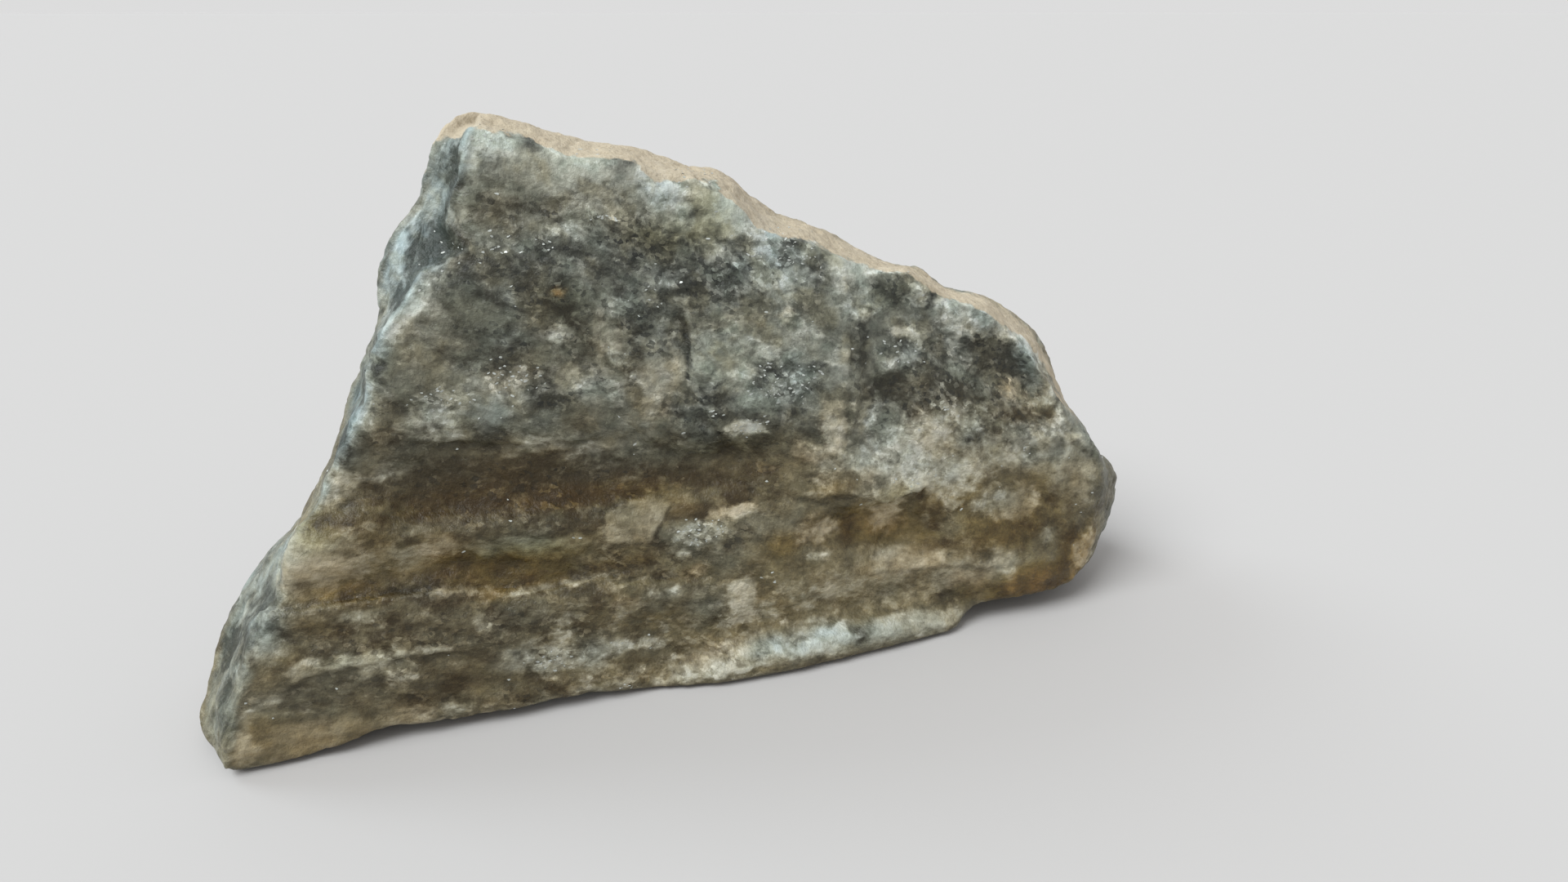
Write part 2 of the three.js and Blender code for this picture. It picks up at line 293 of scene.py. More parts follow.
# Heights and widths of the free relief in millimetres: swells, ribs drawn out along the banding,
# rough grain, blocks with a seam between each two, and pits where grains fell out.
SWELL_HEIGHT, SWELL_WIDTH = 0.26, 7.5
RIB_HEIGHT, RIB_WIDTHS = 0.15, (9, 9, 2.4)
ROUGH_HEIGHT, ROUGH_WIDTH = 0.16, 2.4
BLOCK_HEIGHT, BLOCK_WIDTHS, SEAM_DEPTH = 0.24, (5.2, 5.2, 2.8), 0.1
PIT_DEPTH, PIT_WIDTH = 0.24, 2.6
# The flank's edge is raised, the flank falls away behind it, and it is hollow below the crest.
FLANK_EDGE_HEIGHT, FLANK_FALL, FLANK_HOLLOW_DEPTH = 0.35, 0.6, 0.55
CRACK_DEPTH = 0.2

relief = SWELL_HEIGHT * rough(spots, SWELL_WIDTH, 2, seed=11)
relief += RIB_HEIGHT * rough(banded, RIB_WIDTHS, 3, seed=21) * (0.35 + 0.65 * thin_banded)
relief += ROUGH_HEIGHT * rough(spots, ROUGH_WIDTH, 3, seed=31, keep=0.62) * (1 - 0.4 * thin_banded)
block_bend = 0.7 * wave(spots, 3, seed=3)[:, None]
first_seed, second_seed = facets(banded + block_bend, BLOCK_WIDTHS, seed=7)
relief += BLOCK_HEIGHT * (0.5 - first_seed)
relief -= SEAM_DEPTH * (1 - between(second_seed - first_seed, 0, 0.14))
pit_seed = facets(spots, PIT_WIDTH, seed=9)[0]
relief -= PIT_DEPTH * (1 - between(pit_seed, 0.1, 0.3)) * (1 - 0.6 * thin_banded)
flank_edge = FLANK_EDGE_HEIGHT * np.exp(-flank_away / 0.7) * between(-flank_side, -1, 1)
flank_hollow = FLANK_HOLLOW_DEPTH * np.exp(-((flank_away - 2.4) / 1.4) ** 2)
flank_hollow *= between(on_face[:, 1], 50, 56)
relief += seen * (flank_edge - flank_hollow * (flank_side < 0))
relief -= FLANK_FALL * flank * between(flank_away, 0.1, 2.2)
for line, rise, felt in steps:
    distance, side = beside_line(line)
    wobble = 0.25 * wave(spots, 1.6, seed=13)
    relief += seen * rise * side * between(distance + wobble, 0, 0.45) * np.exp(-distance / felt)
    relief -= seen * CRACK_DEPTH * (1 - between(distance, 0.12, 0.5))

places = places + outward * (relief * clear_of_foot * MM)[:, None]
places[:, 2] = np.maximum(places[:, 2], 0.0)
mesh.vertices.foreach_set("co", places.ravel())
mesh.update()
mesh.polygons.foreach_set("use_smooth", np.ones(len(mesh.polygons), dtype=bool))

# Areas of the face, listed one by one. Each is its middle along and up the face, half sizes along
# and across, turn in degrees, and strength. Where areas meet, the stronger counts. Grain, flecks and
# glitter are left to the material and the flakes.
pale_areas = (
    # left flank and its edge
    (2.4, 12.8, 1.6, 1.2, 0, 0.6), (6.4, 23.8, 1.4, 2, -20, 0.5), (10.8, 26.6, 2, 2.4, -20, 0.5),
    (17, 40.5, 1, 3, -20, 0.35), (22, 52, 0.9, 3.6, -20, 0.5), (25.2, 55.6, 1, 1.6, -20, 0.6),
    (25.8, 58.7, 0.9, 1.4, -20, 0.75), (26.5, 62, 1.2, 2.4, -30, 0.4), (27.4, 53.2, 1.2, 2.2, -40, 0.7),
    (29.8, 64, 1.2, 2.6, -8, 0.6), (31.2, 69, 1.6, 1, 20, 0.5), (33, 61.3, 1.8, 1, 0, 0.4),
    (34.6, 66.4, 1.6, 0.9, 35, 0.7), (36.5, 68.3, 4.5, 1.8, -3, 0.75),
    # massive block, left
    (27.2, 50.5, 2.8, 3.2, 50, 0.5), (28, 40, 3.2, 2, -5, 0.5), (33.2, 38.6, 1.9, 2, 0, 0.35),
    (35.5, 42.3, 3, 1.8, 10, 0.5), (36, 41.5, 9, 3, 0, 0.3), (36.8, 47.1, 2.8, 0.7, -3, 0.4),
    (36.9, 51.5, 1.5, 0.8, -5, 0.4), (40.5, 66.2, 2, 1.2, 0, 0.45), (42.2, 47.1, 1.9, 1.4, 0, 0.5),
    (42.3, 52.1, 0.9, 0.6, 20, 0.6), (42.5, 59, 2.6, 0.6, -25, 0.3), (43, 65.5, 11, 3.6, -6, 0.55),
    (44.2, 41.8, 3.4, 1.8, 0, 0.45), (45.2, 65.8, 4.8, 1.8, -5, 0.6), (46.5, 62.4, 3.4, 1.8, -10, 0.4),
    # massive block, middle
    (50, 41.5, 6, 1.8, 0, 0.35), (54.5, 52.4, 2, 1.7, 0, 0.45), (55, 62.8, 1.8, 2.4, -15, 0.9),
    (57.4, 61.4, 1.8, 1.6, 0, 0.7), (62, 42, 9, 5, -5, 0.25), (62, 42, 4.4, 3.4, 0, 0.45),
    (62.8, 60, 3.8, 2.1, -40, 0.75), (63.4, 46.6, 3.6, 1, -5, 0.45), (65.8, 57.2, 2, 1.3, -40, 0.7),
    (68.2, 57.9, 2.4, 0.8, -35, 0.9), (68.5, 52.2, 3.4, 2.2, -10, 0.5), (69.5, 38.2, 4.2, 2, -5, 0.35),
    (70, 55, 8, 4, -32, 0.4), (70.3, 46.6, 0.9, 1.1, 0, 0.6), (70.5, 54.6, 2.2, 1.4, 0, 0.4),
    (73, 43.4, 3.6, 1.6, -10, 0.3), (77, 39.5, 1.8, 2.4, 0, 0.4), (77.2, 50.2, 1.6, 1.2, 0, 0.5),
    # massive block, right
    (79, 52.3, 3.6, 1.9, -25, 0.62), (86.3, 43.2, 1.9, 0.8, -8, 0.9), (87.5, 40.6, 2.2, 2, 0, 0.3),
    (93.5, 43.4, 2.2, 1.5, 0, 0.5), (95.5, 45.8, 4.2, 1.8, -30, 0.8), (98, 45, 7, 3, -30, 0.5),
    # stained bands, left
    (12, 24, 5.5, 5, 0, 0.45), (13, 23.2, 5, 2.8, 0, 0.55), (16, 16.6, 3, 0.9, 4, 0.45),
    (17, 17.4, 2, 0.8, -5, 0.5), (17.5, 27.2, 3.2, 0.9, 0, 0.4), (19.2, 33, 2.6, 0.5, 0, 0.35),
    (22.2, 18.6, 2.2, 0.6, 0, 0.4), (23, 21.4, 2.8, 1.4, 0, 0.35), (25.8, 24, 2.4, 1.2, 0, 0.5),
    (26.5, 18, 3.6, 0.9, -3, 0.5), (28, 26.4, 7, 1.2, -3, 0.35), (35.4, 16.8, 2.4, 0.7, 12, 0.7),
    (36, 23.6, 2.6, 0.6, 12, 0.35), (41, 16.9, 2.4, 0.5, 5, 0.5), (44, 33, 3.2, 1.4, 0, 0.3),
    (44.6, 17.1, 1.6, 0.4, 0, 0.6), (46, 28.6, 2.2, 0.4, -3, 0.4),
    # stained bands, middle
    (50.5, 15.6, 4.6, 0.3, -3, 0.45), (54.3, 18.6, 1.8, 1, 0, 0.4), (56.2, 15.4, 1.2, 0.9, 0, 0.6),
    (57.2, 20.4, 3.2, 1.5, 0, 0.6), (61.5, 22.9, 3.8, 0.8, 5, 0.6), (66.3, 27.7, 1.5, 0.6, -5, 0.6),
    (72, 29.2, 2.2, 1.7, -10, 0.45), (72.4, 18.4, 2.6, 1.6, 0, 0.5),
    # stained bands, right
    (81, 28, 3.4, 2, 0, 0.55), (82.5, 33.4, 1.6, 2.4, 0, 0.3), (88.4, 23.2, 3.2, 1.6, 5, 1),
    (89, 29.8, 5, 3.4, 0, 0.8), (90, 27, 11, 6, -3, 0.62), (92.8, 18.8, 1.3, 1.2, 0, 0.5),
    (93.6, 31.8, 2.8, 1.2, 5, 0.9), (95.5, 23.5, 4, 2.2, -3, 0.6), (97.3, 18.5, 1.4, 1.1, 20, 0.6),
    (100.8, 18.6, 1, 0.8, 0, 0.6), (102, 26, 10, 4, -10, 0.4), (102.7, 33.8, 2.4, 1.7, -10, 0.6),
    (104.2, 17.2, 3.2, 2.6, 0, 0.5), (106, 23.2, 3.4, 1.6, 0, 0.4), (106.5, 27.3, 4.2, 1.2, 5, 0.6),
    (112.5, 20, 3.6, 6, 0, 0.6),
    # foot, left
    (4.6, 8.4, 1.8, 0.6, 10, 0.5), (7, 3.4, 7, 2.2, 0, 0.35), (9, 11.6, 1.6, 0.9, 0, 0.5),
    (15.5, 11.8, 5.4, 0.9, 4, 0.65), (19.6, 8.5, 1.7, 1.1, -10, 0.55), (20, 3.2, 2.6, 1.6, 0, 0.45),
    (22.8, 11.8, 2.6, 0.6, -5, 0.5), (24, 3, 10, 3, 0, 0.2), (29.7, 13.8, 1.3, 1.2, 0, 0.5),
    (33, 8.3, 3, 1.6, 5, 0.5), (37, 7, 3.2, 1.5, -2, 0.55), (39, 10.4, 2.6, 0.4, 0, 0.6),
    (41, 14.4, 2, 0.7, 0, 0.3),
    # foot, middle
    (48.2, 7, 3.4, 0.9, -3, 0.65), (52.5, 2.2, 2.6, 1.4, 0, 0.5), (52.8, 13.4, 3, 0.8, 0, 0.4),
    (59.6, 3.4, 5.2, 1.9, 3, 0.6), (62, 5, 12, 4.5, 0, 0.3), (66.5, 3.2, 2.4, 1.5, 0, 0.5),
    (70.5, 3.4, 4.5, 1.5, 0, 0.7), (71, 7.8, 1.1, 0.8, 0, 0.5), (72.5, 11.8, 2.2, 1.8, 0, 0.3),
    (72.6, 5.6, 1.9, 0.6, -3, 0.6), (73.2, 14.8, 2.3, 0.7, -5, 0.6), (75.6, 3.6, 1.3, 1.1, 0, 0.75),
    (77.4, 9.8, 2.6, 1.2, 0, 0.4),
    # foot and tongue, right
    (86, 10, 15, 4.4, 0, 0.42), (86.5, 2.2, 6, 1.8, 0, 0.5), (88.2, 11.9, 7, 1.6, 3, 0.5),
    (91, 11.4, 1.4, 0.8, 0, 0.6), (96.5, 7.4, 3.6, 1, -5, 0.4), (101.2, 9.2, 1.3, 1, 0, 0.7),
    (108.8, 12.1, 1.5, 1.2, 0, 0.4),
)
dark_areas = (
    # left flank and its edge
    (2.6, 15.6, 2, 2.6, 0, 1), (5.8, 20.8, 1, 1.3, 0, 0.7), (10.3, 22, 0.9, 0.7, 0, 0.7),
    (17.4, 36.8, 1.2, 1.8, -20, 0.75), (21.9, 45, 0.9, 1.5, 0, 0.7), (28.2, 58.8, 1.5, 2.2, -35, 0.9),
    (30.6, 60.8, 1, 2, -30, 0.6), (31.2, 58.4, 2.2, 1.8, 40, 0.75), (32.3, 67.3, 1, 1.9, 10, 0.75),
    # massive block, left
    (20.6, 37.2, 3.4, 1.5, 5, 0.6), (26.5, 35.8, 3, 1, -5, 0.6), (33.4, 36.2, 2.6, 1.2, 0, 0.65),
    (33.4, 48.6, 4.4, 1.4, -5, 0.4), (34.6, 53.6, 4, 2.4, 0, 0.5), (36.6, 62.3, 1.5, 0.6, 0, 0.6),
    (37.3, 66.8, 1.3, 0.8, 0, 0.55), (37.5, 61.4, 5, 1.8, 0, 0.5), (38.2, 46.5, 2.2, 0.8, 0, 0.5),
    (39.6, 40.8, 1.6, 2.2, 0, 0.9), (41.2, 57.4, 1.2, 0.9, 0, 0.85), (42, 68.4, 1.7, 0.9, -5, 0.9),
    (42.2, 51, 2.9, 2.3, 0, 0.85), (42.3, 61.8, 2, 1.3, 0, 0.6), (42.6, 39.6, 2, 0.9, 0, 0.6),
    (44, 54, 13, 7, -5, 0.5), (46.2, 64.2, 0.7, 0.8, 0, 0.75),
    # massive block, middle
    (48, 48, 11, 6, 0, 0.45), (50.2, 62.4, 1.6, 1.8, 0, 0.5), (51, 66.2, 2, 1.3, 0, 0.7),
    (51.4, 47, 2, 3.6, 10, 0.8), (51.5, 57.8, 7, 2, -5, 0.7), (52.5, 54.6, 3, 1.6, 0, 0.45),
    (54.3, 45, 1.4, 3, 0, 0.6), (55.7, 36.6, 1.5, 1.7, 0, 0.5), (57, 57.6, 2.6, 1.4, -10, 0.5),
    (58.6, 61.9, 0.9, 0.8, 0, 0.85), (59.5, 59.6, 1, 0.8, 0, 0.6), (60, 52.4, 5.2, 2.8, -5, 0.8),
    (60, 53, 9, 5, -12, 0.5), (60.8, 37.8, 2.4, 1.5, -10, 0.8), (70.5, 40.3, 4, 1.2, 0, 0.65),
    (71.8, 56, 1.8, 0.9, -20, 0.85), (74.6, 52.2, 1.3, 2, 0, 0.85),
    # massive block, right
    (79.9, 41.5, 1.1, 5, 0, 0.55), (84.6, 49.2, 3.2, 1.9, -20, 0.75), (84.8, 36.6, 4.8, 3.6, 0, 0.8),
    (90.4, 47.2, 0.9, 1.3, 0, 0.9), (96, 37, 13, 5, -22, 0.6), (96.5, 41.5, 3, 1.8, -25, 0.7),
    (100.8, 38, 5.2, 2.8, -25, 0.85), (104, 38.5, 1.6, 2.6, 30, 0.7),
    # stained bands, left
    (17, 19, 5, 1.4, 0, 0.55), (20.5, 15.4, 8, 1.2, -2, 0.45), (27, 29.9, 5, 1.2, -3, 0.7),
    (27, 32.9, 3.8, 1.3, 0, 0.6), (28, 34, 14, 3, 0, 0.42), (31.5, 19.8, 2, 0.9, 0, 0.5),
    (33, 26, 17, 7, -5, 0.55), (34, 30.5, 16, 3.6, -4, 1), (38, 29.6, 8.6, 1.5, -3, 1),
    (40, 22.4, 4.5, 1.4, 0, 0.3), (44, 26.8, 3, 1, 0, 0.7), (47, 17.9, 6.6, 1.2, -3, 0.7),
    # stained bands, middle
    (48, 19, 8, 3, -3, 0.4), (51.8, 31, 4, 1.6, 0, 0.45), (57.5, 33.2, 2.4, 2, 0, 0.6),
    (60.4, 17.9, 1, 0.9, 0, 0.5), (62, 31, 12, 4, -3, 0.5), (62.8, 19.2, 2, 0.9, 0, 0.5),
    (64, 31, 8, 1.3, -3, 0.65), (65, 26, 7, 3, -5, 0.5), (77.4, 17.4, 1.8, 2.4, -30, 0.6),
    # stained bands, right
    (80, 18, 12, 4.5, -5, 0.12), (88.2, 20.8, 0.9, 0.8, 0, 0.8), (90, 26.3, 1.4, 0.3, 0, 0.5),
    (90.4, 17.6, 2.6, 2.4, -10, 0.7), (92.2, 26.2, 0.9, 0.5, 0, 0.7), (92.5, 34.8, 4.6, 2.6, -10, 0.85),
    (97.8, 16.5, 1.8, 0.9, 0, 0.6), (98, 28.6, 3, 1.8, 0, 0.45), (100, 15, 11, 5, -5, 0.3),
    (103, 30.3, 3, 1.6, 0, 0.75), (109.5, 17.4, 0.8, 1.8, 0, 0.8),
    # foot, left
    (12, 8, 7.4, 1.5, 3, 0.6), (22, 6, 5, 3, 0, 0.6), (22, 13, 17, 8, -3, 0.46),
    (22.5, 6.2, 2.5, 2.6, 0, 0.55), (31.8, 13.6, 3.2, 1.8, 0, 0.6), (35, 4.2, 5, 1.4, 0, 0.4),
    (38, 3, 6, 1.2, -3, 0.5), (40, 8, 13, 7, -3, 0.45), (43.5, 8.2, 2.6, 1.4, 0, 0.55),
    # foot, middle
    (49.2, 9.5, 1.3, 1, 0, 0.7), (57.3, 10.8, 2.6, 2.2, 0, 0.65), (66, 8.6, 2, 1.4, 0, 0.4),
    (66.7, 13, 1, 0.8, 0, 0.4), (72, 1.5, 1.5, 1, 0, 0.6), (78.6, 2.6, 1.3, 1.3, 0, 0.8),
    # foot and tongue, right
    (97.6, 11.6, 2.6, 2.2, 0, 0.5), (103, 4, 9, 2.4, -5, 0.4), (113, 9, 3, 4, -20, 0.5),
)
# Stains soak in, so their edges are evened out with this many passes; rust spots stay sharp.
STAIN_PASSES = 20
rust_spots = (
    (42.3, 52.1, 0.9, 0.6, 20, 1.6),
)
brown_areas = (
    # left flank and its edge
    (5.5, 14, 3, 3, 0, 0.8), (15.6, 34.4, 1.8, 1.6, 0, 0.7), (16.5, 35, 1.5, 1.2, 0, 1),
    (31, 58, 1.4, 2, 0, 0.6),
    # massive block, left
    (20, 37.5, 4.5, 2.5, 0, 0.6), (24, 41, 3, 2.4, 0, 0.4), (27, 35.8, 3, 1, 0, 0.5),
    (27, 46, 8, 6, 0, 0.3), (31, 50, 6, 3, 0, 0.3), (36, 37, 14, 2, 0, 0.55), (37, 62, 6, 3, 0, 0.35),
    (39, 44, 2.4, 2, 0, 0.5), (42, 51, 3.2, 2.6, 0, 0.3), (43, 47, 8, 4, 0, 0.35), (46, 60.5, 3, 2, 0, 0.3),
    (47.4, 44.4, 2, 2.4, 0, 0.5),
    # massive block, middle
    (49.6, 42.6, 2.6, 1.6, 0, 0.6), (54.5, 61, 2, 1.6, 0, 0.3), (57, 47, 1.6, 1.6, 0, 0.6),
    # massive block, right
    (85, 36, 6, 3.5, 0, 0.3), (94, 35, 6, 3, 0, 0.2), (101, 38, 5, 3, -25, 0.15),
    (108, 36, 1.4, 2.4, 20, 0.7),
    # stained bands, left
    (14, 17, 9, 2, 0, 1), (14, 20.4, 6, 1.6, 0, 1.15), (15, 24, 3, 1, 0, 0.9), (20, 19, 6, 1.2, 0, 1.05),
    (20, 32, 5, 2, 0, 0.6), (22, 15, 12, 2.5, 0, 0.4), (26, 27, 14, 5, 0, 0.95),
    (30, 21, 14, 3.6, -3, 1.08), (30, 24, 26, 10, -4, 0.85), (30, 29.6, 18, 2.4, -3, 0.85),
    (31, 16.6, 2.4, 1.6, 0, 1.2), (33, 17, 3, 2.6, 0, 1), (33, 32.5, 15, 4, -3, 0.7),
    (36, 18.4, 6, 1.4, 0, 1.3), (43, 27.4, 15, 2, -3, 1.15), (47, 18.4, 8, 2, -3, 0.9),
    # stained bands, middle
    (54, 33, 3, 1.6, 0, 0.65), (55.8, 23.6, 3.2, 1.6, 5, 1), (58, 15, 2, 1.6, 0, 1),
    (60, 26, 22, 6.4, -3, 0.72), (65, 27, 6, 3.4, 0, 0.8), (66, 16, 8, 4, 0, 0.5), (68, 17, 4, 2, 0, 1.05),
    (74, 18.4, 4, 3, 0, 1), (74, 25.5, 6, 2.5, 0, 0.6), (75, 23.4, 4, 1.4, 0, 1.1),
    # stained bands, right
    (81, 18.6, 8, 3.4, -3, 1.1), (82, 17.6, 8, 4, 0, 1.05), (93, 31, 8, 3, 0, 0.5), (94, 17, 6, 3, 0, 0.9),
    (96, 26.6, 7, 1.6, 0, 0.9), (98, 16, 22, 9, -6, 0.95), (102, 30, 4, 2, 0, 0.6), (103, 22, 5, 2, 0, 0.3),
    (106, 31, 3, 2, 0, 0.7), (109, 29.4, 1.4, 1.6, 0, 0.9),
    # foot, left: the brown along the bottom edge is partly painted warm light bounced up from below
    (4.4, 4, 8, 4, 0, 0.9), (8, 3, 12, 3, 0, 0.85), (8, 13, 3, 2, 0, 0.9), (10, 2, 12, 2.4, 0, 0.6),
    (20, 5, 5, 3, 0, 0.7), (20, 9, 14, 5, 0, 0.35), (47, 13, 2, 1.2, 0, 0.7),
    # foot, middle
    (55, 7.5, 4.5, 2.4, 0, 0.6), (55, 8, 62, 14, -2, 0.78), (60, 3.4, 2, 2, 0, 0.6),
    (62, 7, 2, 1.6, 0, 1.05), (62, 8, 2, 1.6, 0, 0.9), (75, 11, 8, 4, 0, 0.4),
    # foot and tongue, right: the brown and amber low on the right end are partly painted warm bounce light
    (96, 5.5, 6, 2, 0, 0.9), (102, 14, 9, 3, 0, 1), (103, 13, 8, 4, -5, 1), (107, 4.6, 9, 3.4, 0, 1.5),
    (114.5, 8, 4, 5, -20, 1.25),
)
olive_areas = (
    (13, 28, 2, 2.4, -20, 0.7), (15.5, 11.8, 5.2, 1, 4, 0.4), (35, 21, 8, 2.6, 0, 0.7),
    (38, 66, 12, 3, 0, 0.12), (42, 51, 3, 2.4, 0, 0.4), (57, 57.5, 6, 2, 0, 0.5),
    (62, 42, 4.4, 3.4, 0, 0.3), (62, 60, 4, 2.4, -40, 0.4), (64, 31, 8, 1.4, -3, 0.4),
    (84.5, 21.6, 2.4, 0.8, 0, 0.8), (85, 48, 4, 2, 0, 0.3),
)
# Cool grey tint of the quartz; on the left edges and the rims it is partly painted reflection of the cool
# window light.
cool_areas = (
    # left flank and its edge
    (6, 17, 1.6, 2.8, -10, 1), (7.4, 25, 2, 3, -20, 0.5), (9, 26, 1.8, 2.6, -20, 0.9),
    (9, 26.4, 2.4, 3, -20, 0.5), (9.6, 27, 2, 2, -20, 0.5), (17.4, 36.8, 1.6, 2, -20, 1),
    (17.4, 39, 1.2, 2.6, -20, 0.8), (18, 41, 1.4, 3, -20, 1.2), (20, 42, 1.2, 4, -20, 0.8),
    (22, 46, 1.6, 3, -20, 1.2), (25.4, 57.6, 1.4, 3, -20, 0.8), (28, 58, 2, 5, -10, 0.4),
    (30.6, 63.4, 1.4, 3, -20, 0.5), (33, 61.8, 2, 2, 0, 0.3), (34.6, 66.4, 2, 1.2, 35, 0.8),
    # massive block, left
    (29, 38.6, 2.4, 1.6, 0, 0.75), (30, 41.6, 2, 3, 30, 0.5), (33.2, 38.6, 2.1, 2.2, 0, 0.9),
    (36.8, 47.1, 3, 0.9, -3, 0.7), (36.9, 51.5, 1.6, 1, -5, 0.7), (39, 37.6, 4.4, 1.4, 8, 0.75),
    (42.5, 59, 2.8, 0.8, -25, 0.7), (43, 52.6, 2.4, 1.6, 0, 0.3),
    # massive block, middle
    (53, 48, 5, 4, 0, 0.35), (54.5, 52.4, 2.2, 1.8, 0, 0.5), (55, 62.8, 2, 2.4, -15, 0.8),
    (60, 39, 3, 2, 0, 0.3), (60.6, 43.6, 1.8, 1.6, 0, 0.7), (62, 44.5, 4, 1.6, 0, 0.4),
    (62, 59.6, 3, 3, -30, 0.75), (65, 46.6, 2.6, 1.2, 0, 0.8), (67.6, 52.2, 2.4, 2, 0, 1.2),
    (68.2, 57.9, 2.6, 1, -35, 0.9), (69.5, 38.6, 5, 2.6, -5, 0.6), (69.5, 53.4, 5, 3.4, -10, 0.8),
    (70, 57.4, 2.2, 1.2, -30, 0.9), (76, 54.4, 3, 1.4, -25, 0.8),
    # massive block, right
    (81, 47.4, 2.4, 1.6, 0, 0.8), (87.5, 40.6, 2.4, 2.2, 0, 0.7), (88, 46.4, 4, 1.2, -25, 0.45),
    (98, 43.6, 3, 1.2, -30, 0.5), (104.5, 37, 1.4, 3.4, 32, 0.9),
    # stained bands, left
    (15.5, 17, 3.2, 0.9, 0, 0.6), (22, 19.6, 3, 1, 0, 0.4), (22.2, 18.6, 2.4, 0.8, 0, 0.5),
    (27, 32.9, 4, 1.5, 0, 0.2), (28, 26.4, 7, 1.4, -3, 0.35), (35, 23, 5, 1.3, 0, 0.7),
    (38, 25, 5, 1.2, 0, 0.35), (45, 25.4, 2.4, 1, 0, 0.4),
    # stained bands, middle
    (57.2, 20.4, 3.4, 1.7, 0, 0.5), (58, 33, 5, 2.4, 10, 0.4), (60, 16, 3, 2, 0, 0.25),
    # stained bands, right
    (79, 27.6, 1.8, 2.2, 0, 0.7), (82, 33, 3, 3, 0, 0.3), (86, 25, 5, 1.2, -3, 0.4),
    (91, 23, 3, 1.2, 0, 0.5), (93, 15.6, 2, 2.4, 0, 0.35), (97, 27.4, 2.6, 1.3, 0, 0.7),
    (97.3, 18.5, 1.5, 1.2, 20, 0.3), (101, 18, 3, 1.3, 0, 0.6), (101, 19, 3, 1.2, 0, 0.35),
    (106, 23.6, 7, 0.9, -3, 0.5),
    # foot, left
    (16, 10, 8, 2, 0, 0.25), (33, 8.3, 3.2, 1.8, 5, 0.5), (33, 13, 7, 2.4, 0, 0.3),
    (37, 7, 3.4, 1.7, -2, 0.4), (42.4, 7.4, 2.6, 2, 0, 0.7),
    # foot, middle
    (48.2, 7, 3.6, 1.1, -3, 0.4), (52, 13, 2.6, 1.3, 0, 0.6), (57.3, 10.8, 2.8, 2.4, 0, 0.5),
    (57.5, 1.6, 5, 1.2, 0, 0.45), (65, 3.2, 2.8, 1.5, 0, 1.3), (68, 3.2, 5.5, 1.9, 0, 0.5),
    (70, 2, 3, 1.6, 0, 0.9), (73.6, 3.4, 2.2, 1.3, 0, 1.2), (75.6, 3.6, 1.6, 1.4, 0, 0.6),
    (76, 2.2, 11, 1.6, 0, 0.9), (76.5, 3, 3.4, 1.6, 0, 0.8),
    # foot and tongue, right
    (81, 2.6, 3, 1.4, 0, 0.5), (86.5, 2.2, 6.4, 2.1, 0, 0.35), (101.4, 9, 1.6, 1.2, 0, 0.9),
    (108.8, 12.1, 1.6, 1.3, 0, 0.4),
)
tan_areas = (
    (7, 3.4, 8, 2.6, 0, 0.5), (13, 23.2, 5, 3, 0, 0.7), (20, 3.2, 3, 1.8, 0, 0.5),
    (25.8, 24, 2.6, 1.4, 0, 1), (26.5, 18, 5, 1.4, -3, 0.6), (31, 20, 4, 1.2, 0, 0.4),
    (33, 61.3, 2, 1.2, 0, 0.4), (35.5, 42.3, 3.2, 2, 10, 0.3), (47, 13, 1.6, 1, 0, 0.8),
    (47.8, 46.5, 1.9, 2.4, 0, 0.4), (52.5, 37.4, 2.2, 2.8, 30, 0.6), (54.6, 41.2, 2.4, 2, 20, 0.4),
    (56.2, 15.4, 1.3, 1, 0, 1), (59.6, 3.4, 5.4, 2.1, 3, 0.35), (61.5, 22.9, 4, 1, 5, 0.7),
    (62.2, 11.2, 2.5, 2.7, 0, 0.5), (63.4, 46.6, 3.8, 1.2, -5, 0.5), (66.3, 27.7, 1.6, 0.8, -5, 0.9),
    (70.3, 46.6, 1.1, 1.3, 0, 0.5), (72, 29.2, 2.4, 1.9, -10, 0.7), (72.4, 18.4, 2.8, 1.8, 0, 0.9),
    (75.8, 32, 2, 3.2, 0, 0.6), (78, 24.6, 5, 1.4, -5, 0.4), (83, 18.2, 3.4, 1.8, 0, 0.7),
    (88.2, 11.9, 7.4, 2, 3, 0.7), (89, 29.8, 5, 3.4, 0, 0.15), (96.5, 7.4, 4, 1.4, -5, 0.8),
    (101.2, 9.2, 1.5, 1.2, 0, 0.7), (102.7, 33.8, 2.6, 1.9, -10, 0.8), (104.2, 17.2, 3.4, 2.8, 0, 0.6),
)
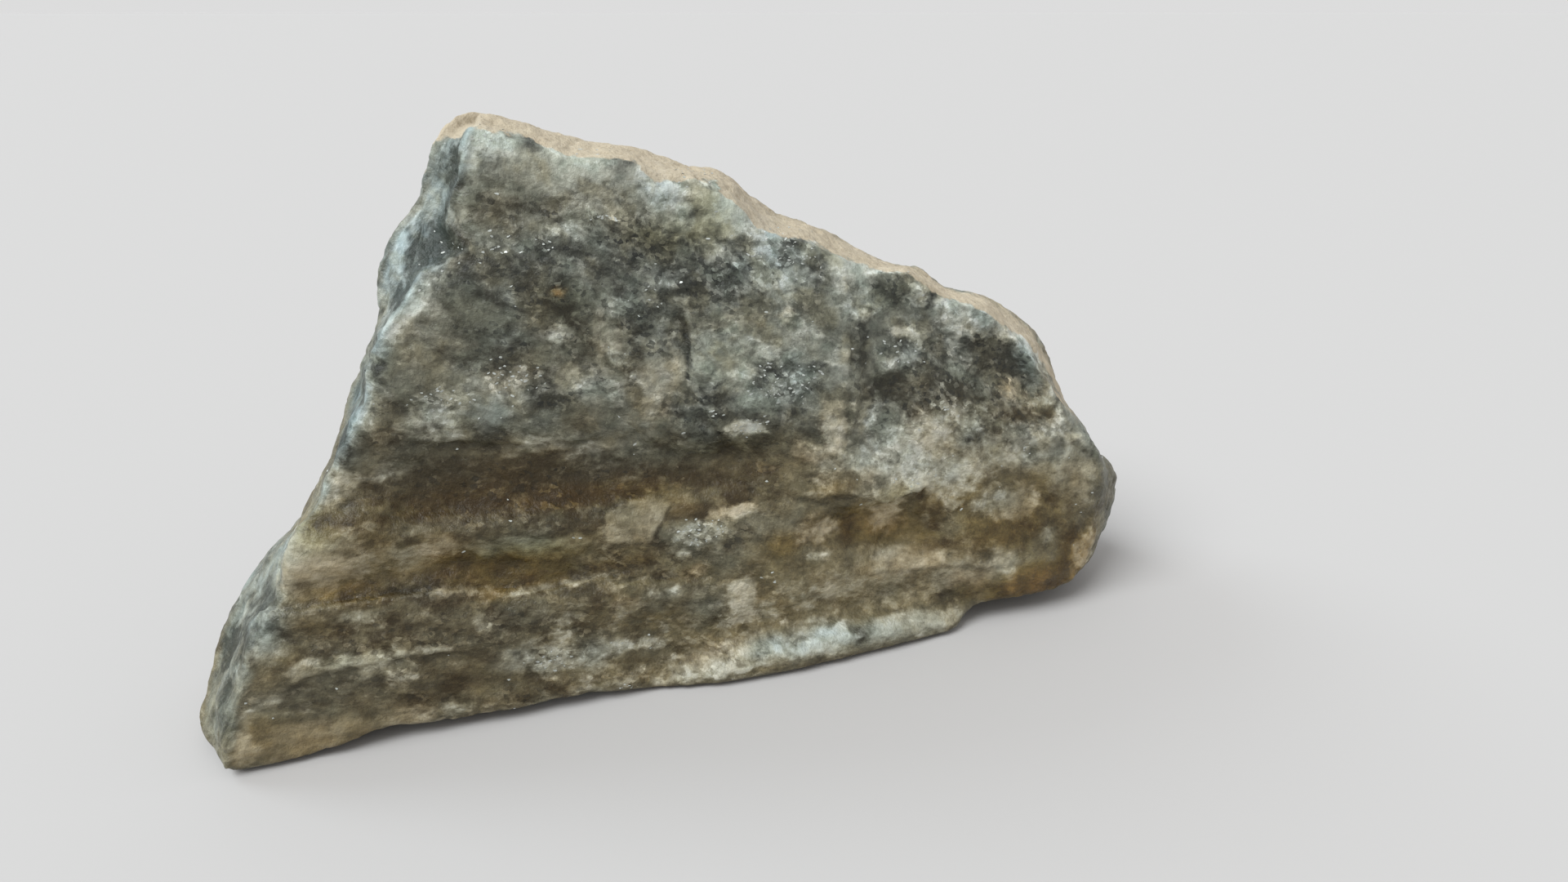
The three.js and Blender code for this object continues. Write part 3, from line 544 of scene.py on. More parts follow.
smooth_areas = (
    (5, 22, 3, 4, 0, 0.6), (6, 12, 3, 4, 0, 0.6), (8, 3.4, 12, 3.4, 0, 1), (11, 10.4, 6, 2.6, 0, 0.55),
    (12, 18.3, 5, 2.2, 0, 0.5), (13, 23, 5, 3.2, 0, 0.9), (20, 26, 12, 8, 0, 0.4), (24, 21.6, 4, 2, 0, 0.8),
    (27, 6, 3, 2.6, 0, 0.7), (27, 50.5, 2.6, 3, 50, 0.6), (28, 7, 6, 3, 0, 0.65),
    (29.6, 23.2, 5, 2.6, 0, 0.65), (30, 60, 4, 8, -10, 0.5), (33.2, 38.6, 1.9, 2, 0, 0.8),
    (36, 20, 8, 2.4, 0, 0.6), (38.7, 21.7, 5, 2.4, 0, 0.75), (42, 66, 12, 4, -5, 0.8),
    (45, 66, 5, 2, 0, 0.6), (47, 6.5, 5, 2.4, 0, 0.4), (55.8, 23.6, 2.9, 1.3, 5, 0.9),
    (58.6, 27, 4.5, 2.6, 0, 0.7), (62, 42, 4, 3, 0, 0.4), (62, 60, 4, 2.4, -40, 0.7),
    (63.4, 39, 3, 4, 0, 0.3), (70, 60, 6, 3, -30, 0.5), (79, 52, 4, 2, -25, 0.8), (81, 41.2, 12, 3, 0, 0.3),
    (82, 17, 6, 3, 0, 0.6), (86, 12, 7, 2, 0, 0.5), (90, 8, 20, 5, 0, 0.4), (104, 6, 10, 4, 0, 0.7),
    (104, 17, 3, 3, 0, 0.5), (112, 20, 4, 6, 0, 0.7),
)
# Places a little lighter, above 0, or darker, below 0, than the areas above make them. They add up.
# They are partly the stone's own tone and partly painted light and shade: several lighten places
# that the relief leaves in shade, such as the block's lower edge, the hollow under the lip and the
# down-turned lower right end.
tone_areas = (
    # left flank and its edge
    (0.8, 11, 1.2, 3, 0, -0.32), (1.6, 5.4, 1.2, 3, 0, 0.42), (2.2, 12.6, 0.8, 0.9, 0, -0.24),
    (3, 9, 1.4, 1, 0, 0.26), (3.2, 20.2, 0.8, 1.2, 0, 0.28), (3.8, 19.6, 0.9, 1.2, 0, 0.26),
    (5, 17.8, 2, 0.8, 0, -0.2), (5, 19, 2, 0.8, 0, -0.26), (5.6, 14.8, 2.2, 1.6, 0, 0.44),
    (6.4, 21.8, 1.4, 1.6, 0, -0.42), (7, 22, 1.4, 1.2, 0, -0.2), (7.5, 19.2, 1.6, 1.2, 0, -0.15),
    (11.5, 26, 2.6, 2, 0, 0.16), (14, 33.6, 0.8, 1.6, -20, -0.28), (15, 35, 0.9, 2.4, -20, -0.5),
    (15, 36, 0.9, 2, -20, -0.25), (15.2, 32.6, 1.5, 2.8, -20, 0.75), (16, 37.4, 0.9, 2, -20, -0.3),
    (16.2, 37.8, 0.9, 2.2, -20, -0.42), (17, 39, 0.9, 2.6, -20, -0.5), (17, 39.5, 0.9, 2, -20, -0.25),
    (18.3, 41.6, 1.2, 0.8, 0, -0.2), (19.1, 38.8, 1.2, 0.9, 0, 0.36), (20.2, 40.6, 1.8, 1.8, 0, 0.34),
    (23, 51, 0.8, 1.5, 0, 0.22), (24, 49, 1, 1.6, 0, 0.2), (24.4, 53.2, 0.8, 1.6, -20, -0.4),
    (24.4, 53.2, 0.8, 1.4, -20, -0.3), (24.6, 48.6, 1.2, 1, 0, 0.22), (24.8, 58.6, 0.9, 1.8, -20, 0.3),
    (25, 57.8, 0.9, 2.4, -10, 0.4), (25.2, 53, 1, 2, -20, -0.5), (25.3, 53, 0.8, 1.6, -20, -0.26),
    (25.7, 51.6, 0.9, 1.8, 0, 0.5), (26.1, 56.8, 0.8, 1.2, 0, -0.36), (26.2, 57, 0.8, 1, 0, -0.22),
    (26.3, 52, 0.8, 1.4, 0, 0.22), (26.4, 60.3, 0.9, 0.9, 0, 0.22), (27, 55.6, 1.8, 2.4, -20, -0.3),
    (27, 60, 1.2, 1, 0, 0.3), (27.4, 57, 0.9, 1.4, 0, -0.24), (28.5, 63, 1, 3, -10, 0.26),
    (30, 57.2, 1.4, 0.8, 0, -0.44), (30.5, 57.2, 1.6, 1.2, 0, -0.4), (30.6, 57.2, 1.2, 1, 0, -0.2),
    (30.6, 61.4, 1, 2, -10, -0.3), (31.2, 61.8, 1, 1, 0, 0.26), (31.5, 67.5, 0.8, 1.6, -10, -0.3),
    (31.8, 61.2, 1.4, 1.2, 0, 0.22), (32, 65.6, 1.6, 3, -10, -0.45), (32, 66.4, 0.8, 2, -10, -0.25),
    (32.5, 64, 1.5, 1, 0, -0.2), (34.3, 66.6, 1.2, 1, 0, 0.3), (34.3, 67, 0.9, 1.2, 0, 0.34),
    (34.5, 64.4, 2.6, 1.6, 0, -0.24),
    # massive block, left
    (25.4, 41.3, 3, 1.4, 0, -0.2), (25.6, 42, 2, 1, 0, -0.24), (26, 38, 1.6, 0.9, 0, 0.16),
    (26.7, 49, 1.4, 1.4, 0, -0.2), (27.6, 37, 3, 1, 0, 0.32), (28.4, 49, 2.4, 2.4, 0, -0.26),
    (29.2, 36.2, 1.3, 0.9, 0, 0.24), (29.6, 54, 1.2, 1, 0, -0.2), (29.7, 41.6, 2, 1.2, 0, 0.26),
    (30, 53.6, 1.3, 1.1, 0, -0.26), (31, 46.4, 3, 1.2, 0, -0.16), (32.4, 38.2, 1.6, 1.6, 0, -0.16),
    (33, 55, 1.5, 1.5, 0, -0.16), (33.6, 55.2, 2.4, 1.4, 0, -0.34), (34, 55.2, 1.6, 1.2, 0, -0.22),
    (34.2, 44.6, 2.4, 1, 0, -0.22), (34.4, 45, 3.6, 2.6, 0, -0.42), (34.6, 52.6, 1, 1, 0, 0.26),
    (35.6, 58.7, 1.6, 1, 0, 0.22), (36.5, 66.4, 1.2, 1.4, 0, -0.32), (36.6, 63, 1.4, 1, 0, 0.22),
    (38, 48.2, 1.8, 2, 0, -0.26), (38, 53.5, 1.3, 1.4, 0, -0.22), (38, 54, 2.4, 1.4, 0, -0.2),
    (38, 68, 1.2, 1.2, 0, 0.2), (38.4, 64, 2, 2.4, 0, -0.22), (39, 38.6, 3, 1, 0, -0.22),
    (39, 42.4, 2.4, 1.4, 0, -0.3), (39.4, 41.2, 1.2, 1.2, 0, -0.26), (40, 54.5, 1.2, 0.9, 0, 0.14),
    (41, 68.4, 1.6, 0.8, 0, -0.2), (41.2, 61.8, 1.6, 2, 0, -0.25), (41.5, 45.5, 1, 2, 0, 0.22),
    (41.6, 66.6, 1.8, 1.8, 0, -0.24), (41.6, 68.6, 1.2, 0.8, 0, -0.22), (42, 63.6, 1.4, 1, 0, -0.16),
    (42.5, 60.7, 1.6, 0.8, 0, -0.24), (42.8, 54, 1.4, 1, 0, 0.28), (43, 56.3, 1.8, 0.8, 0, -0.3),
    (43, 66.6, 1.6, 1, 0, 0.22), (43.2, 67.6, 1.4, 1, 0, 0.14), (44, 48.4, 1.2, 2.2, 0, -0.16),
    (44, 58.8, 2, 1, 0, 0.26), (45, 37.6, 4, 1, 0, -0.1), (45, 44, 1.2, 1.6, 0, -0.22),
    (46, 42, 1.6, 2, 0, -0.14), (46, 59.2, 1.1, 0.9, 0, -0.2), (46, 62, 1.3, 1.2, 0, -0.18),
    (46, 63, 1.6, 1.2, 0, -0.25), (46.3, 58, 1.6, 1, 0, 0.24), (46.6, 54.6, 2, 1, 0, 0.2),
    (46.7, 59.6, 2.8, 2, 0, 0.4), (47.4, 50, 1, 1, 0, 0.18), (47.5, 64, 3, 2, 0, -0.08),
    (47.6, 50, 1.6, 1.2, 0, 0.22), (47.7, 49, 1.4, 1, 0, 0.26),
    # massive block, middle
    (48, 38.6, 2.4, 1.2, 0, 0.26), (48, 43.4, 1, 1, 0, 0.2), (48, 44.6, 1.2, 1, 0, 0.26),
    (48.4, 43.8, 1.2, 1.2, 0, 0.2), (48.5, 64.8, 1.4, 1, 0, 0.12), (48.9, 44, 1, 1, 0, 0.2),
    (50, 44.8, 1.2, 0.8, 0, -0.18), (50.3, 41.4, 1.4, 1, 0, -0.24), (50.4, 49.6, 1.4, 1, 0, 0.2),
    (50.4, 61, 1.8, 1.2, 0, 0.16), (50.4, 61, 1.4, 1, 0, 0.2), (50.7, 41.4, 1, 1, 0, -0.22),
    (50.7, 59, 1, 1.6, 0, 0.28), (51, 66, 1, 1, 0, -0.12), (51.4, 56.5, 3, 1.1, 0, -0.28),
    (51.5, 56.6, 2.6, 1, 0, -0.22), (51.5, 65.4, 1.2, 1, 0, -0.3), (51.6, 51.4, 2.4, 1.2, 0, 0.18),
    (51.8, 38.2, 1.8, 0.8, 0, 0.3), (52.5, 55.9, 2.4, 1, 0, -0.26), (53, 36.8, 2, 1.2, 0, -0.1),
    (53.4, 38.6, 2, 0.9, 0, 0.26), (53.5, 64.8, 1.6, 1, 0, 0.3), (53.6, 59.4, 1.3, 1.2, 0, 0.26),
    (54, 64.6, 1.4, 1.2, 0, 0.3), (54.2, 45, 1.4, 1.2, 0, 0.26), (54.5, 64.4, 1.4, 0.9, 0, 0.24),
    (54.9, 59, 1.4, 1.2, 0, 0.38), (55.2, 41.3, 1.2, 1, 0, 0.3), (55.5, 53.5, 1.1, 1, 0, -0.22),
    (57, 36, 3, 1.4, -5, -0.3), (57.4, 46.6, 1.2, 2, 0, -0.24), (57.4, 48.4, 1.4, 1.2, 0, -0.22),
    (57.5, 38.7, 1.2, 1, 0, -0.12), (58.3, 38.7, 1, 2, 0, -0.32), (58.5, 62.6, 2.4, 0.9, 0, 0.24),
    (58.9, 58.3, 2.6, 1, 0, 0.4), (59, 58, 3, 1.4, 0, 0.32), (59.2, 63, 2, 1.4, 0, 0.46),
    (59.4, 36.8, 1.2, 0.9, 0, -0.28), (60, 63.4, 1.4, 0.9, 0, 0.3), (60.4, 38.7, 1.2, 1, 0, 0.2),
    (61.6, 54.6, 1.4, 1.4, 0, 0.26), (62, 53.8, 2, 1.4, 0, 0.34), (63.5, 54.4, 1.6, 0.9, 0, -0.2),
    (63.8, 45, 1.3, 1.2, 0, 0.26), (63.8, 48.6, 1.4, 0.9, 0, -0.2), (64, 46, 1.8, 1.2, 0, 0.22),
    (64, 57.4, 1.6, 0.9, 0, 0.18), (64.3, 40, 1.2, 1.2, 0, 0.32), (64.5, 55.5, 1.4, 0.9, 0, -0.2),
    (64.6, 39.6, 1.2, 1, 0, 0.22), (64.6, 43.4, 1.2, 0.9, 0, 0.22), (65, 57, 1.4, 0.9, 0, 0.2),
    (65.4, 60, 3, 2.4, -35, 0.46), (65.5, 61, 2, 1.6, -30, 0.36), (65.5, 61.2, 2, 1, -30, 0.28),
    (65.6, 52.2, 1, 0.9, 0, -0.26), (65.8, 51.4, 1.2, 2, 0, 0.16), (66, 44, 1.6, 1, 0, 0.16),
    (66, 52.6, 0.9, 0.9, 0, -0.24), (66, 60.6, 2.4, 1.1, -40, 0.28), (66.4, 38.8, 1.2, 1, 0, -0.2),
    (67, 42.4, 1.8, 0.9, 0, 0.2), (67, 50.6, 0.9, 1.6, 0, 0.2), (67, 53.4, 1.4, 2, 0, 0.14),
    (67.3, 54.3, 1.2, 1, 0, 0.26), (67.4, 39, 2, 1.2, 0, -0.28), (67.4, 58.8, 1.8, 1.2, -30, 0.3),
    (67.6, 54.6, 1.2, 0.9, 0, 0.2), (67.8, 38.7, 2, 0.9, 0, -0.16), (68.6, 56.4, 1.8, 1.4, -35, 0.2),
    (68.6, 58, 2.2, 0.8, -35, 0.36), (69.4, 48, 1.4, 2.4, 0, 0.26), (70, 55, 1.4, 1, 0, -0.18),
    (70.6, 47.4, 1.8, 1.2, 0, 0.16), (70.6, 51.4, 1.2, 1, 0, 0.2), (70.6, 53.2, 0.9, 1.6, 0, -0.2),
    (71, 35.6, 1.8, 2, 0, -0.16), (71.2, 35.2, 1.2, 1.6, 0, -0.26), (71.7, 53.2, 1.4, 1.4, 0, -0.3),
    (71.8, 50.6, 1.4, 0.8, 0, -0.26), (72, 44.6, 2.2, 2.6, 0, 0.16), (72, 52, 1.4, 0.9, 0, 0.28),
    (72.6, 44.6, 3, 1, 0, 0.14), (72.9, 50, 1.5, 1.4, 0, -0.2), (73, 51, 1.1, 0.9, 0, 0.2),
    (73.4, 56.6, 2, 0.8, -20, 0.26), (73.6, 44.2, 1.6, 1, -15, -0.2), (74.4, 38, 1.8, 3, 0, -0.24),
    (76, 43.4, 3, 1.2, 0, -0.12), (76.2, 51.5, 1.4, 1.2, 0, 0.2), (77.4, 49, 1.4, 1, 0, -0.46),
    (77.5, 42.5, 1.4, 1.6, 0, -0.2), (78, 48, 2.4, 1.6, 0, 0.18),
    # massive block, right
    (79.6, 39.4, 1.2, 1.2, 0, -0.22), (80, 47.4, 2, 2, 0, 0.5), (80.5, 43.6, 1, 1.4, 0, -0.1),
    (81.6, 45.4, 1.4, 1.4, 0, 0.28), (83.5, 49, 1.2, 1, 0, -0.1), (84, 40.4, 1.3, 0.8, 0, -0.46),
    (84.6, 39.6, 1.8, 1, 10, 0.26), (84.8, 39.4, 2.2, 1.2, 0, 0.34), (85, 39, 3, 0.9, 10, 0.3),
    (86, 51, 1.4, 0.8, 0, -0.3), (87.4, 43.2, 2, 1.8, 0, 0.2), (88, 43, 1.6, 1.4, 0, 0.26),
    (88, 43.3, 1, 0.9, 0, -0.38), (88.3, 47, 1.6, 1.8, 0, 0.36), (88.4, 48.2, 1.6, 1.3, -20, 0.46),
    (88.5, 48.6, 1.4, 1, 0, 0.26), (92, 41, 3, 2.4, 0, 0.26), (92.5, 46, 2, 0.9, -20, 0.28),
    (92.6, 46.8, 1.6, 1, -25, 0.26), (94, 39, 1.6, 1.6, 0, 0.2), (94.4, 41.2, 2.6, 1, 0, 0.18),
    (95, 43, 1.6, 1.8, -20, 0.34), (95.4, 42.6, 1.6, 1, 0, 0.24), (98, 44.5, 1.4, 0.8, 0, -0.2),
    (99.4, 42.4, 1, 1, 0, -0.2), (99.6, 42.4, 1.2, 1, 0, -0.25), (100, 42.5, 1.2, 0.8, 0, -0.24),
    (102.4, 35.8, 1.4, 1, 0, 0.16), (103, 41.4, 3, 1.4, -35, 0.45), (103, 41.4, 1.4, 1, -30, 0.2),
    (105.6, 38.8, 2, 3, 30, 0.6), (107.6, 37.6, 1.1, 3, 20, 0.5),
    # stained bands, left
    (8.4, 17.2, 2.4, 0.8, 0, 0.26), (13, 23.4, 4, 2.4, 0, 0.08), (13.4, 17.7, 3, 0.8, 0, 0.22),
    (15, 28.6, 2.4, 1.8, 0, -0.24), (15.5, 16, 2, 1, 0, -0.26), (15.6, 29.2, 3, 1, 0, -0.18),
    (15.8, 15.8, 1.6, 0.9, 0, -0.24), (17.2, 32.8, 1.2, 1.7, 0, 0.42), (17.6, 24.7, 4, 1.4, 0, -0.13),
    (17.8, 17.4, 2.4, 0.8, 0, 0.18), (18, 17.8, 2.4, 0.9, 0, -0.24), (19.8, 17.3, 2.6, 0.8, 0, 0.24),
    (20, 16.5, 6, 4, 0, -0.12), (21.8, 24, 4, 0.8, 0, 0.15), (22, 23.5, 2, 0.9, 0, 0.16),
    (22, 24, 2.4, 1.2, 0, 0.12), (22.4, 33.6, 2.6, 1.1, 0, 0.3), (22.6, 15.2, 2, 0.8, 0, -0.2),
    (22.6, 18.9, 2.6, 1.2, 0, -0.3), (23.2, 20.6, 2.6, 0.9, 0, -0.3), (24.6, 19.7, 2.4, 0.8, 0, -0.28),
    (26, 23.2, 13, 1.6, -3, 0.28), (26.4, 17.3, 1.6, 1, 0, -0.24), (28, 28, 7, 1.2, -3, -0.24),
    (29.6, 22.9, 2.4, 0.9, 0, 0.22), (30, 23, 5, 3.5, 0, -0.13), (30.5, 19.3, 1.6, 0.9, 0, 0.12),
    (31.5, 33.8, 1.6, 0.9, 0, 0.12), (32.2, 17, 2.4, 1.2, 0, 0.24), (32.8, 22.3, 2.6, 0.9, 0, 0.2),
    (33, 21, 3, 1, 0, 0.14), (33, 27, 3, 1.2, 0, -0.24), (35, 19.6, 2, 0.9, 0, 0.18),
    (35.8, 16.8, 2, 0.8, 0, -0.14), (36, 33, 2, 1, 0, 0.14), (37.2, 27.8, 3, 1.1, 0, -0.24),
    (37.8, 24.2, 1.6, 1.2, 0, -0.3), (37.8, 34.3, 2.6, 1, 0, 0.24), (38, 21.6, 4, 1.6, 0, 0.34),
    (38, 27.8, 5, 1.4, 0, -0.26), (38.5, 24, 1.6, 0.8, 0, -0.28), (38.6, 34.6, 4.4, 1.3, 0, 0.48),
    (39.5, 29.5, 6, 4, 0, -0.13), (39.6, 22.2, 3, 0.8, 0, 0.13), (40, 27, 6, 1.6, 0, -0.18),
    (40.6, 16.6, 1.4, 0.8, 0, 0.14), (41, 21.6, 4, 1, 0, 0.2), (42.4, 31.4, 1.4, 0.9, 0, 0.18),
    (43.6, 19.4, 1.6, 0.9, 0, 0.2), (43.6, 32.5, 3, 1, 0, 0.26), (45.4, 21.6, 1.6, 1.8, 0, 0.32),
    (46, 18.8, 1.6, 0.9, 0, 0.24), (46, 28, 4, 1.6, 0, -0.26), (46.4, 32.4, 1.6, 0.9, 0, -0.28),
    (47.5, 27.2, 3, 1, 0, -0.12),
    # stained bands, middle
    (48, 29, 5, 3, 0, -0.08), (48.3, 15.9, 4.6, 0.9, -3, -0.2), (49.2, 31.3, 1.3, 1, 0, 0.22),
    (50, 28.4, 6, 1.4, 3, -0.2), (51.4, 22.8, 1.6, 2, 0, 0.2), (52, 15.9, 2, 0.8, 0, -0.2),
    (53, 16.4, 1.4, 0.9, 0, -0.16), (54, 27.6, 8, 1.4, -3, -0.18), (54, 28, 3, 1, 0, -0.2),
    (55.8, 23.9, 2.6, 1.2, 0, 0.24), (56.4, 21.4, 1.5, 1.2, 0, -0.3), (56.5, 27, 2, 1, 0, -0.24),
    (57, 26.6, 2, 1, 0, -0.22), (58.4, 26.6, 2, 1, 0, -0.18), (58.6, 29.3, 2.4, 0.9, 0, 0.2),
    (60, 18.8, 3, 0.9, 0, -0.16), (62, 22.4, 3, 1, 0, 0.18), (62, 24.3, 3, 0.8, 0, -0.28),
    (62.6, 22.4, 2, 1, 0, 0.46), (63.5, 18, 4.6, 1.2, 0, -0.28), (63.5, 24.2, 1.6, 0.9, 0, -0.14),
    (66.5, 27.7, 1.6, 1, 0, -0.14), (73, 25.5, 3, 1.6, 0, 0.14), (73.4, 17.4, 1.3, 1.1, 0, 0.26),
    (74, 23, 3, 0.9, 0, 0.18), (74.2, 23.8, 2.4, 1.2, 0, 0.22), (74.3, 18, 2, 1.4, 0, 0.14),
    (74.6, 18, 2, 1.6, 0, 0.26), (75.4, 27.6, 2.4, 3, 0, 0.36), (78, 28, 3, 2, 0, 0.13),
    # stained bands, right
    (79.8, 33.6, 1.2, 1.6, 0, 0.32), (80.6, 23.2, 3, 1.3, 0, -0.3), (82.2, 27.4, 1.5, 3, 0, -0.25),
    (82.6, 20.8, 3.4, 3.2, 0, 0.5), (82.6, 31.8, 1.2, 0.9, 0, -0.26), (83, 18.4, 4, 2.2, 0, 0.18),
    (83, 31.2, 1.3, 1.2, 0, -0.24), (83.4, 18.2, 2.4, 1.6, 0, 0.22), (83.4, 27.8, 2, 1.2, 0, 0.26),
    (88.4, 32.8, 2.4, 2, 20, -0.45), (88.5, 26.4, 3.4, 1.4, 0, 0.2), (88.6, 32.8, 1.6, 1.4, 0, -0.25),
    (88.8, 17.2, 1, 1.2, 0, 0.24), (89, 17.6, 0.9, 1.6, 0, 0.22), (90.5, 18.5, 1.4, 1.4, 0, 0.16),
    (93, 21.6, 3.4, 1.8, 0, 0.38), (94.5, 20.6, 1.4, 1, 0, 0.24), (95, 20, 1.4, 1, 0, 0.14),
    (95, 26.2, 1.2, 1.8, 0, -0.2), (95.6, 20.4, 1.6, 1.2, 0, 0.16), (96.4, 26.6, 3, 1.2, 0, -0.34),
    (97.7, 29.4, 1, 1, 0, 0.22), (98, 29, 2.2, 2, 0, -0.24), (99, 18.4, 3, 3, 0, 0.26),
    (99, 32.5, 2, 1.4, 0, -0.15), (100.6, 16, 3, 0.9, 0, 0.22), (101, 33.6, 1.4, 1, 0, 0.18),
    (101.5, 33.4, 1, 1.2, 0, 0.2), (102, 33, 1.2, 2, 0, 0.3), (102.6, 24, 1.8, 1, 0, 0.4),
    (103, 30, 2, 0.8, 0, -0.16), (103.6, 25, 2, 1, 0, 0.16), (104.5, 31, 2, 1, 0, 0.26),
    (104.5, 33.6, 1, 1, 0, -0.1), (105, 19.5, 2, 1.4, 0, 0.12), (105, 34.2, 1, 1.4, 0, -0.26),
    (106, 17.6, 1.2, 1, 0, 0.2), (106, 24, 1.4, 2.6, 0, -0.12), (106.4, 18.3, 0.9, 0.9, 0, 0.22),
    (106.5, 22.6, 2.6, 1.4, 0, 0.12), (107, 19, 4, 4, 0, -0.13), (107, 31, 1.4, 0.8, 0, 0.16),
    (107, 31.6, 1.4, 0.9, 0, 0.3), (107.5, 27.7, 3, 0.9, 0, -0.3), (107.5, 30, 1.4, 0.8, 0, -0.26),
    (107.6, 33.4, 1.3, 1.1, 0, -0.36), (108.5, 29.4, 1.2, 0.8, 0, -0.3), (108.5, 32, 1, 1.4, 0, 0.28),
    (108.5, 33, 1.4, 4, 15, 0.3), (109, 33.4, 1.4, 1.6, 0, 0.28), (110, 25, 1.2, 1.4, 0, -0.2),
    (110, 28.4, 1.1, 1.2, 0, 0.22), (110.3, 28.4, 1.4, 2.4, 0, 0.4), (111, 26, 1, 1.4, 0, 0.2),
    (112.3, 18, 2, 4, 0, -0.5), (115, 23.6, 2, 1.8, 0, -0.3), (118.4, 19, 1.4, 2.4, 0, -0.3),
    # foot, left
    (2.6, 2.6, 1.4, 1.4, 0, 0.2), (3, 3.2, 1.6, 1.2, 0, -0.28), (7.4, 13.6, 1.6, 0.8, 0, 0.2),
    (7.5, 12.8, 1.6, 0.9, 0, -0.2), (8, 5, 10, 3, 0, 0.08), (10.4, 12.4, 1.2, 0.9, 0, 0.18),
    (10.5, 12.6, 1.2, 1, 0, 0.24), (10.6, 12.2, 1.2, 0.9, 0, 0.2), (12.4, 12.6, 0.9, 0.9, 0, -0.2),
    (12.6, 14.2, 2, 1.4, 0, -0.26), (16.5, 10.2, 1.4, 0.8, 0, 0.24), (16.6, 6.8, 2, 1, 0, 0.22),
    (16.8, 10.2, 1.6, 0.9, 0, 0.26), (18, 13, 1.6, 1.2, 0, -0.14), (18.3, 14.2, 1.5, 0.8, 0, -0.18),
    (19, 10.9, 3.6, 1.2, 0, 0.4), (20, 14, 2, 0.8, 0, -0.2), (22.5, 12.6, 2, 1, 0, -0.24),
    (24.2, 3.2, 2.4, 0.8, 0, 0.26), (24.4, 5.2, 1.6, 1, 0, -0.26), (24.8, 7.6, 2.6, 1, 0, -0.2),
    (25, 14.5, 2.4, 1.4, 0, -0.1), (25.8, 9, 1.6, 1, 0, 0.24), (27, 5.6, 3, 1.4, -5, -0.14),
    (30.4, 12, 1.6, 1.4, 0, 0.26), (32, 3.6, 3.5, 1.2, 0, -0.18), (33, 6.6, 1.8, 0.9, 0, 0.14),
    (34, 8.7, 1.6, 0.9, 0, -0.18), (34.2, 12.5, 1.4, 0.9, 0, -0.2), (34.8, 2.6, 3, 0.9, 0, -0.13),
    (35.4, 9.6, 1.4, 1.2, 0, 0.24), (35.8, 13.3, 1.4, 1, 0, -0.26), (36.9, 5.8, 1.6, 0.9, 0, 0.3),
    (38.2, 9.1, 1.6, 1, 0, 0.4), (38.8, 8.8, 1.4, 0.8, 0, 0.28), (39.2, 12.2, 0.9, 1, 0, 0.4),
    (40, 2, 2.4, 1.2, 0, 0.2), (40.2, 12.6, 1.4, 1, 0, 0.24), (41.2, 12, 1.2, 0.9, 0, 0.14),
    (41.4, 4.4, 2.6, 2, 0, 0.4), (42.8, 14.4, 1.8, 1.2, 0, 0.14), (43.4, 7.8, 3.4, 2.6, 0, 0.5),
    (44.8, 14.4, 1.3, 0.9, 0, -0.2), (45, 14, 1.4, 1, 0, -0.24), (45.2, 12, 1.2, 2, 0, 0.22),
    (46, 2.2, 1.4, 0.8, 0, 0.26), (46, 3, 2.4, 1.6, 0, 0.3), (47, 12, 2, 1.8, 0, 0.36),
    # foot, middle
    (50.2, 3, 0.9, 2, 0, 0.34), (51.6, 1.6, 1.4, 1, 0, -0.12), (51.6, 4.4, 1.2, 1.6, 0, 0.34),
    (51.8, 9, 1.2, 1, 0, 0.26), (56.3, 12.2, 1.2, 1, 0, 0.14), (57, 1, 2, 0.7, 0, 0.22),
    (58.6, 1, 4.4, 1, 0, 0.7), (59.4, 11.8, 1, 1.4, 0, 0.16), (60, 4.6, 1.8, 0.9, 0, -0.3),
    (61.6, 11, 1.6, 2.6, 0, 0.34), (62, 8, 2, 1.6, 0, 0.28), (62.2, 6.2, 1.3, 1, 0, -0.14),
    (62.4, 0.8, 2.4, 0.7, 0, 0.3), (62.4, 3.8, 1.4, 1.2, 0, 0.24), (64.6, 8.4, 2.6, 1.2, 0, 0.26),
    (65.5, 4.2, 1, 1.6, 0, -0.16), (66, 1.6, 3, 1, 0, 0.2), (66, 5.6, 2, 0.9, 0, -0.2),
    (68, 10.8, 2.4, 1.6, 0, 0.28), (69.7, 1.6, 2.4, 1, 0, 0.3), (70, 8.6, 1.2, 0.8, 0, 0.28),
    (70.6, 4, 1.6, 1.2, 0, -0.26), (71.4, 14.4, 1.2, 1, 0, -0.1), (72.4, 0.8, 2, 0.8, 0, 0.36),
    (72.4, 9.6, 2.4, 0.8, 0, 0.2), (73.5, 12.5, 1.8, 1, 0, -0.26), (74.4, 1.4, 1.2, 0.9, 0, 0.26),
    (74.4, 2.2, 4, 1.8, 3, 0.65), (74.4, 9.4, 3.6, 1, 0, 0.24), (75.4, 9, 1.6, 0.9, 0, 0.26),
    (77, 3, 1.2, 0.9, 0, -0.2), (77, 3.5, 1.2, 0.9, 0, -0.2),
    # foot and tongue, right
    (82.6, 3.4, 2, 0.9, 0, 0.28), (83.8, 12.8, 2.4, 1.2, 0, 0.24), (86.5, 8, 3, 1.2, 0, -0.24),
    (87, 8.6, 3, 1, 0, -0.2), (87, 10.8, 4, 1, 0, 0.2), (88, 2.6, 3, 1.1, 0, -0.16),
    (88, 2.8, 5, 1.2, 0, 0.15), (90, 5, 3, 1.1, 0, -0.2), (91, 13.4, 3, 1.2, -5, -0.28),
    (91.6, 12.7, 2.6, 0.9, 0, -0.24), (94, 6.6, 2, 1.4, 0, -0.16), (95, 8, 2, 1, 0, 0.26),
    (101.4, 9, 1.6, 1.2, 0, -0.2), (101.4, 9.4, 2.4, 2.8, 0, 0.44), (101.6, 11.7, 1.2, 1, 0, -0.3),
    (102.5, 6.2, 1.2, 2.4, 0, 0.28), (104, 11.5, 5, 4, 0, -0.16), (106.5, 6, 3, 2, 0, 0.14),
    (107, 6.6, 3, 3, 0, 0.2), (107.5, 9, 1.2, 2, 0, -0.22), (112, 10, 3, 5, -20, -0.12),
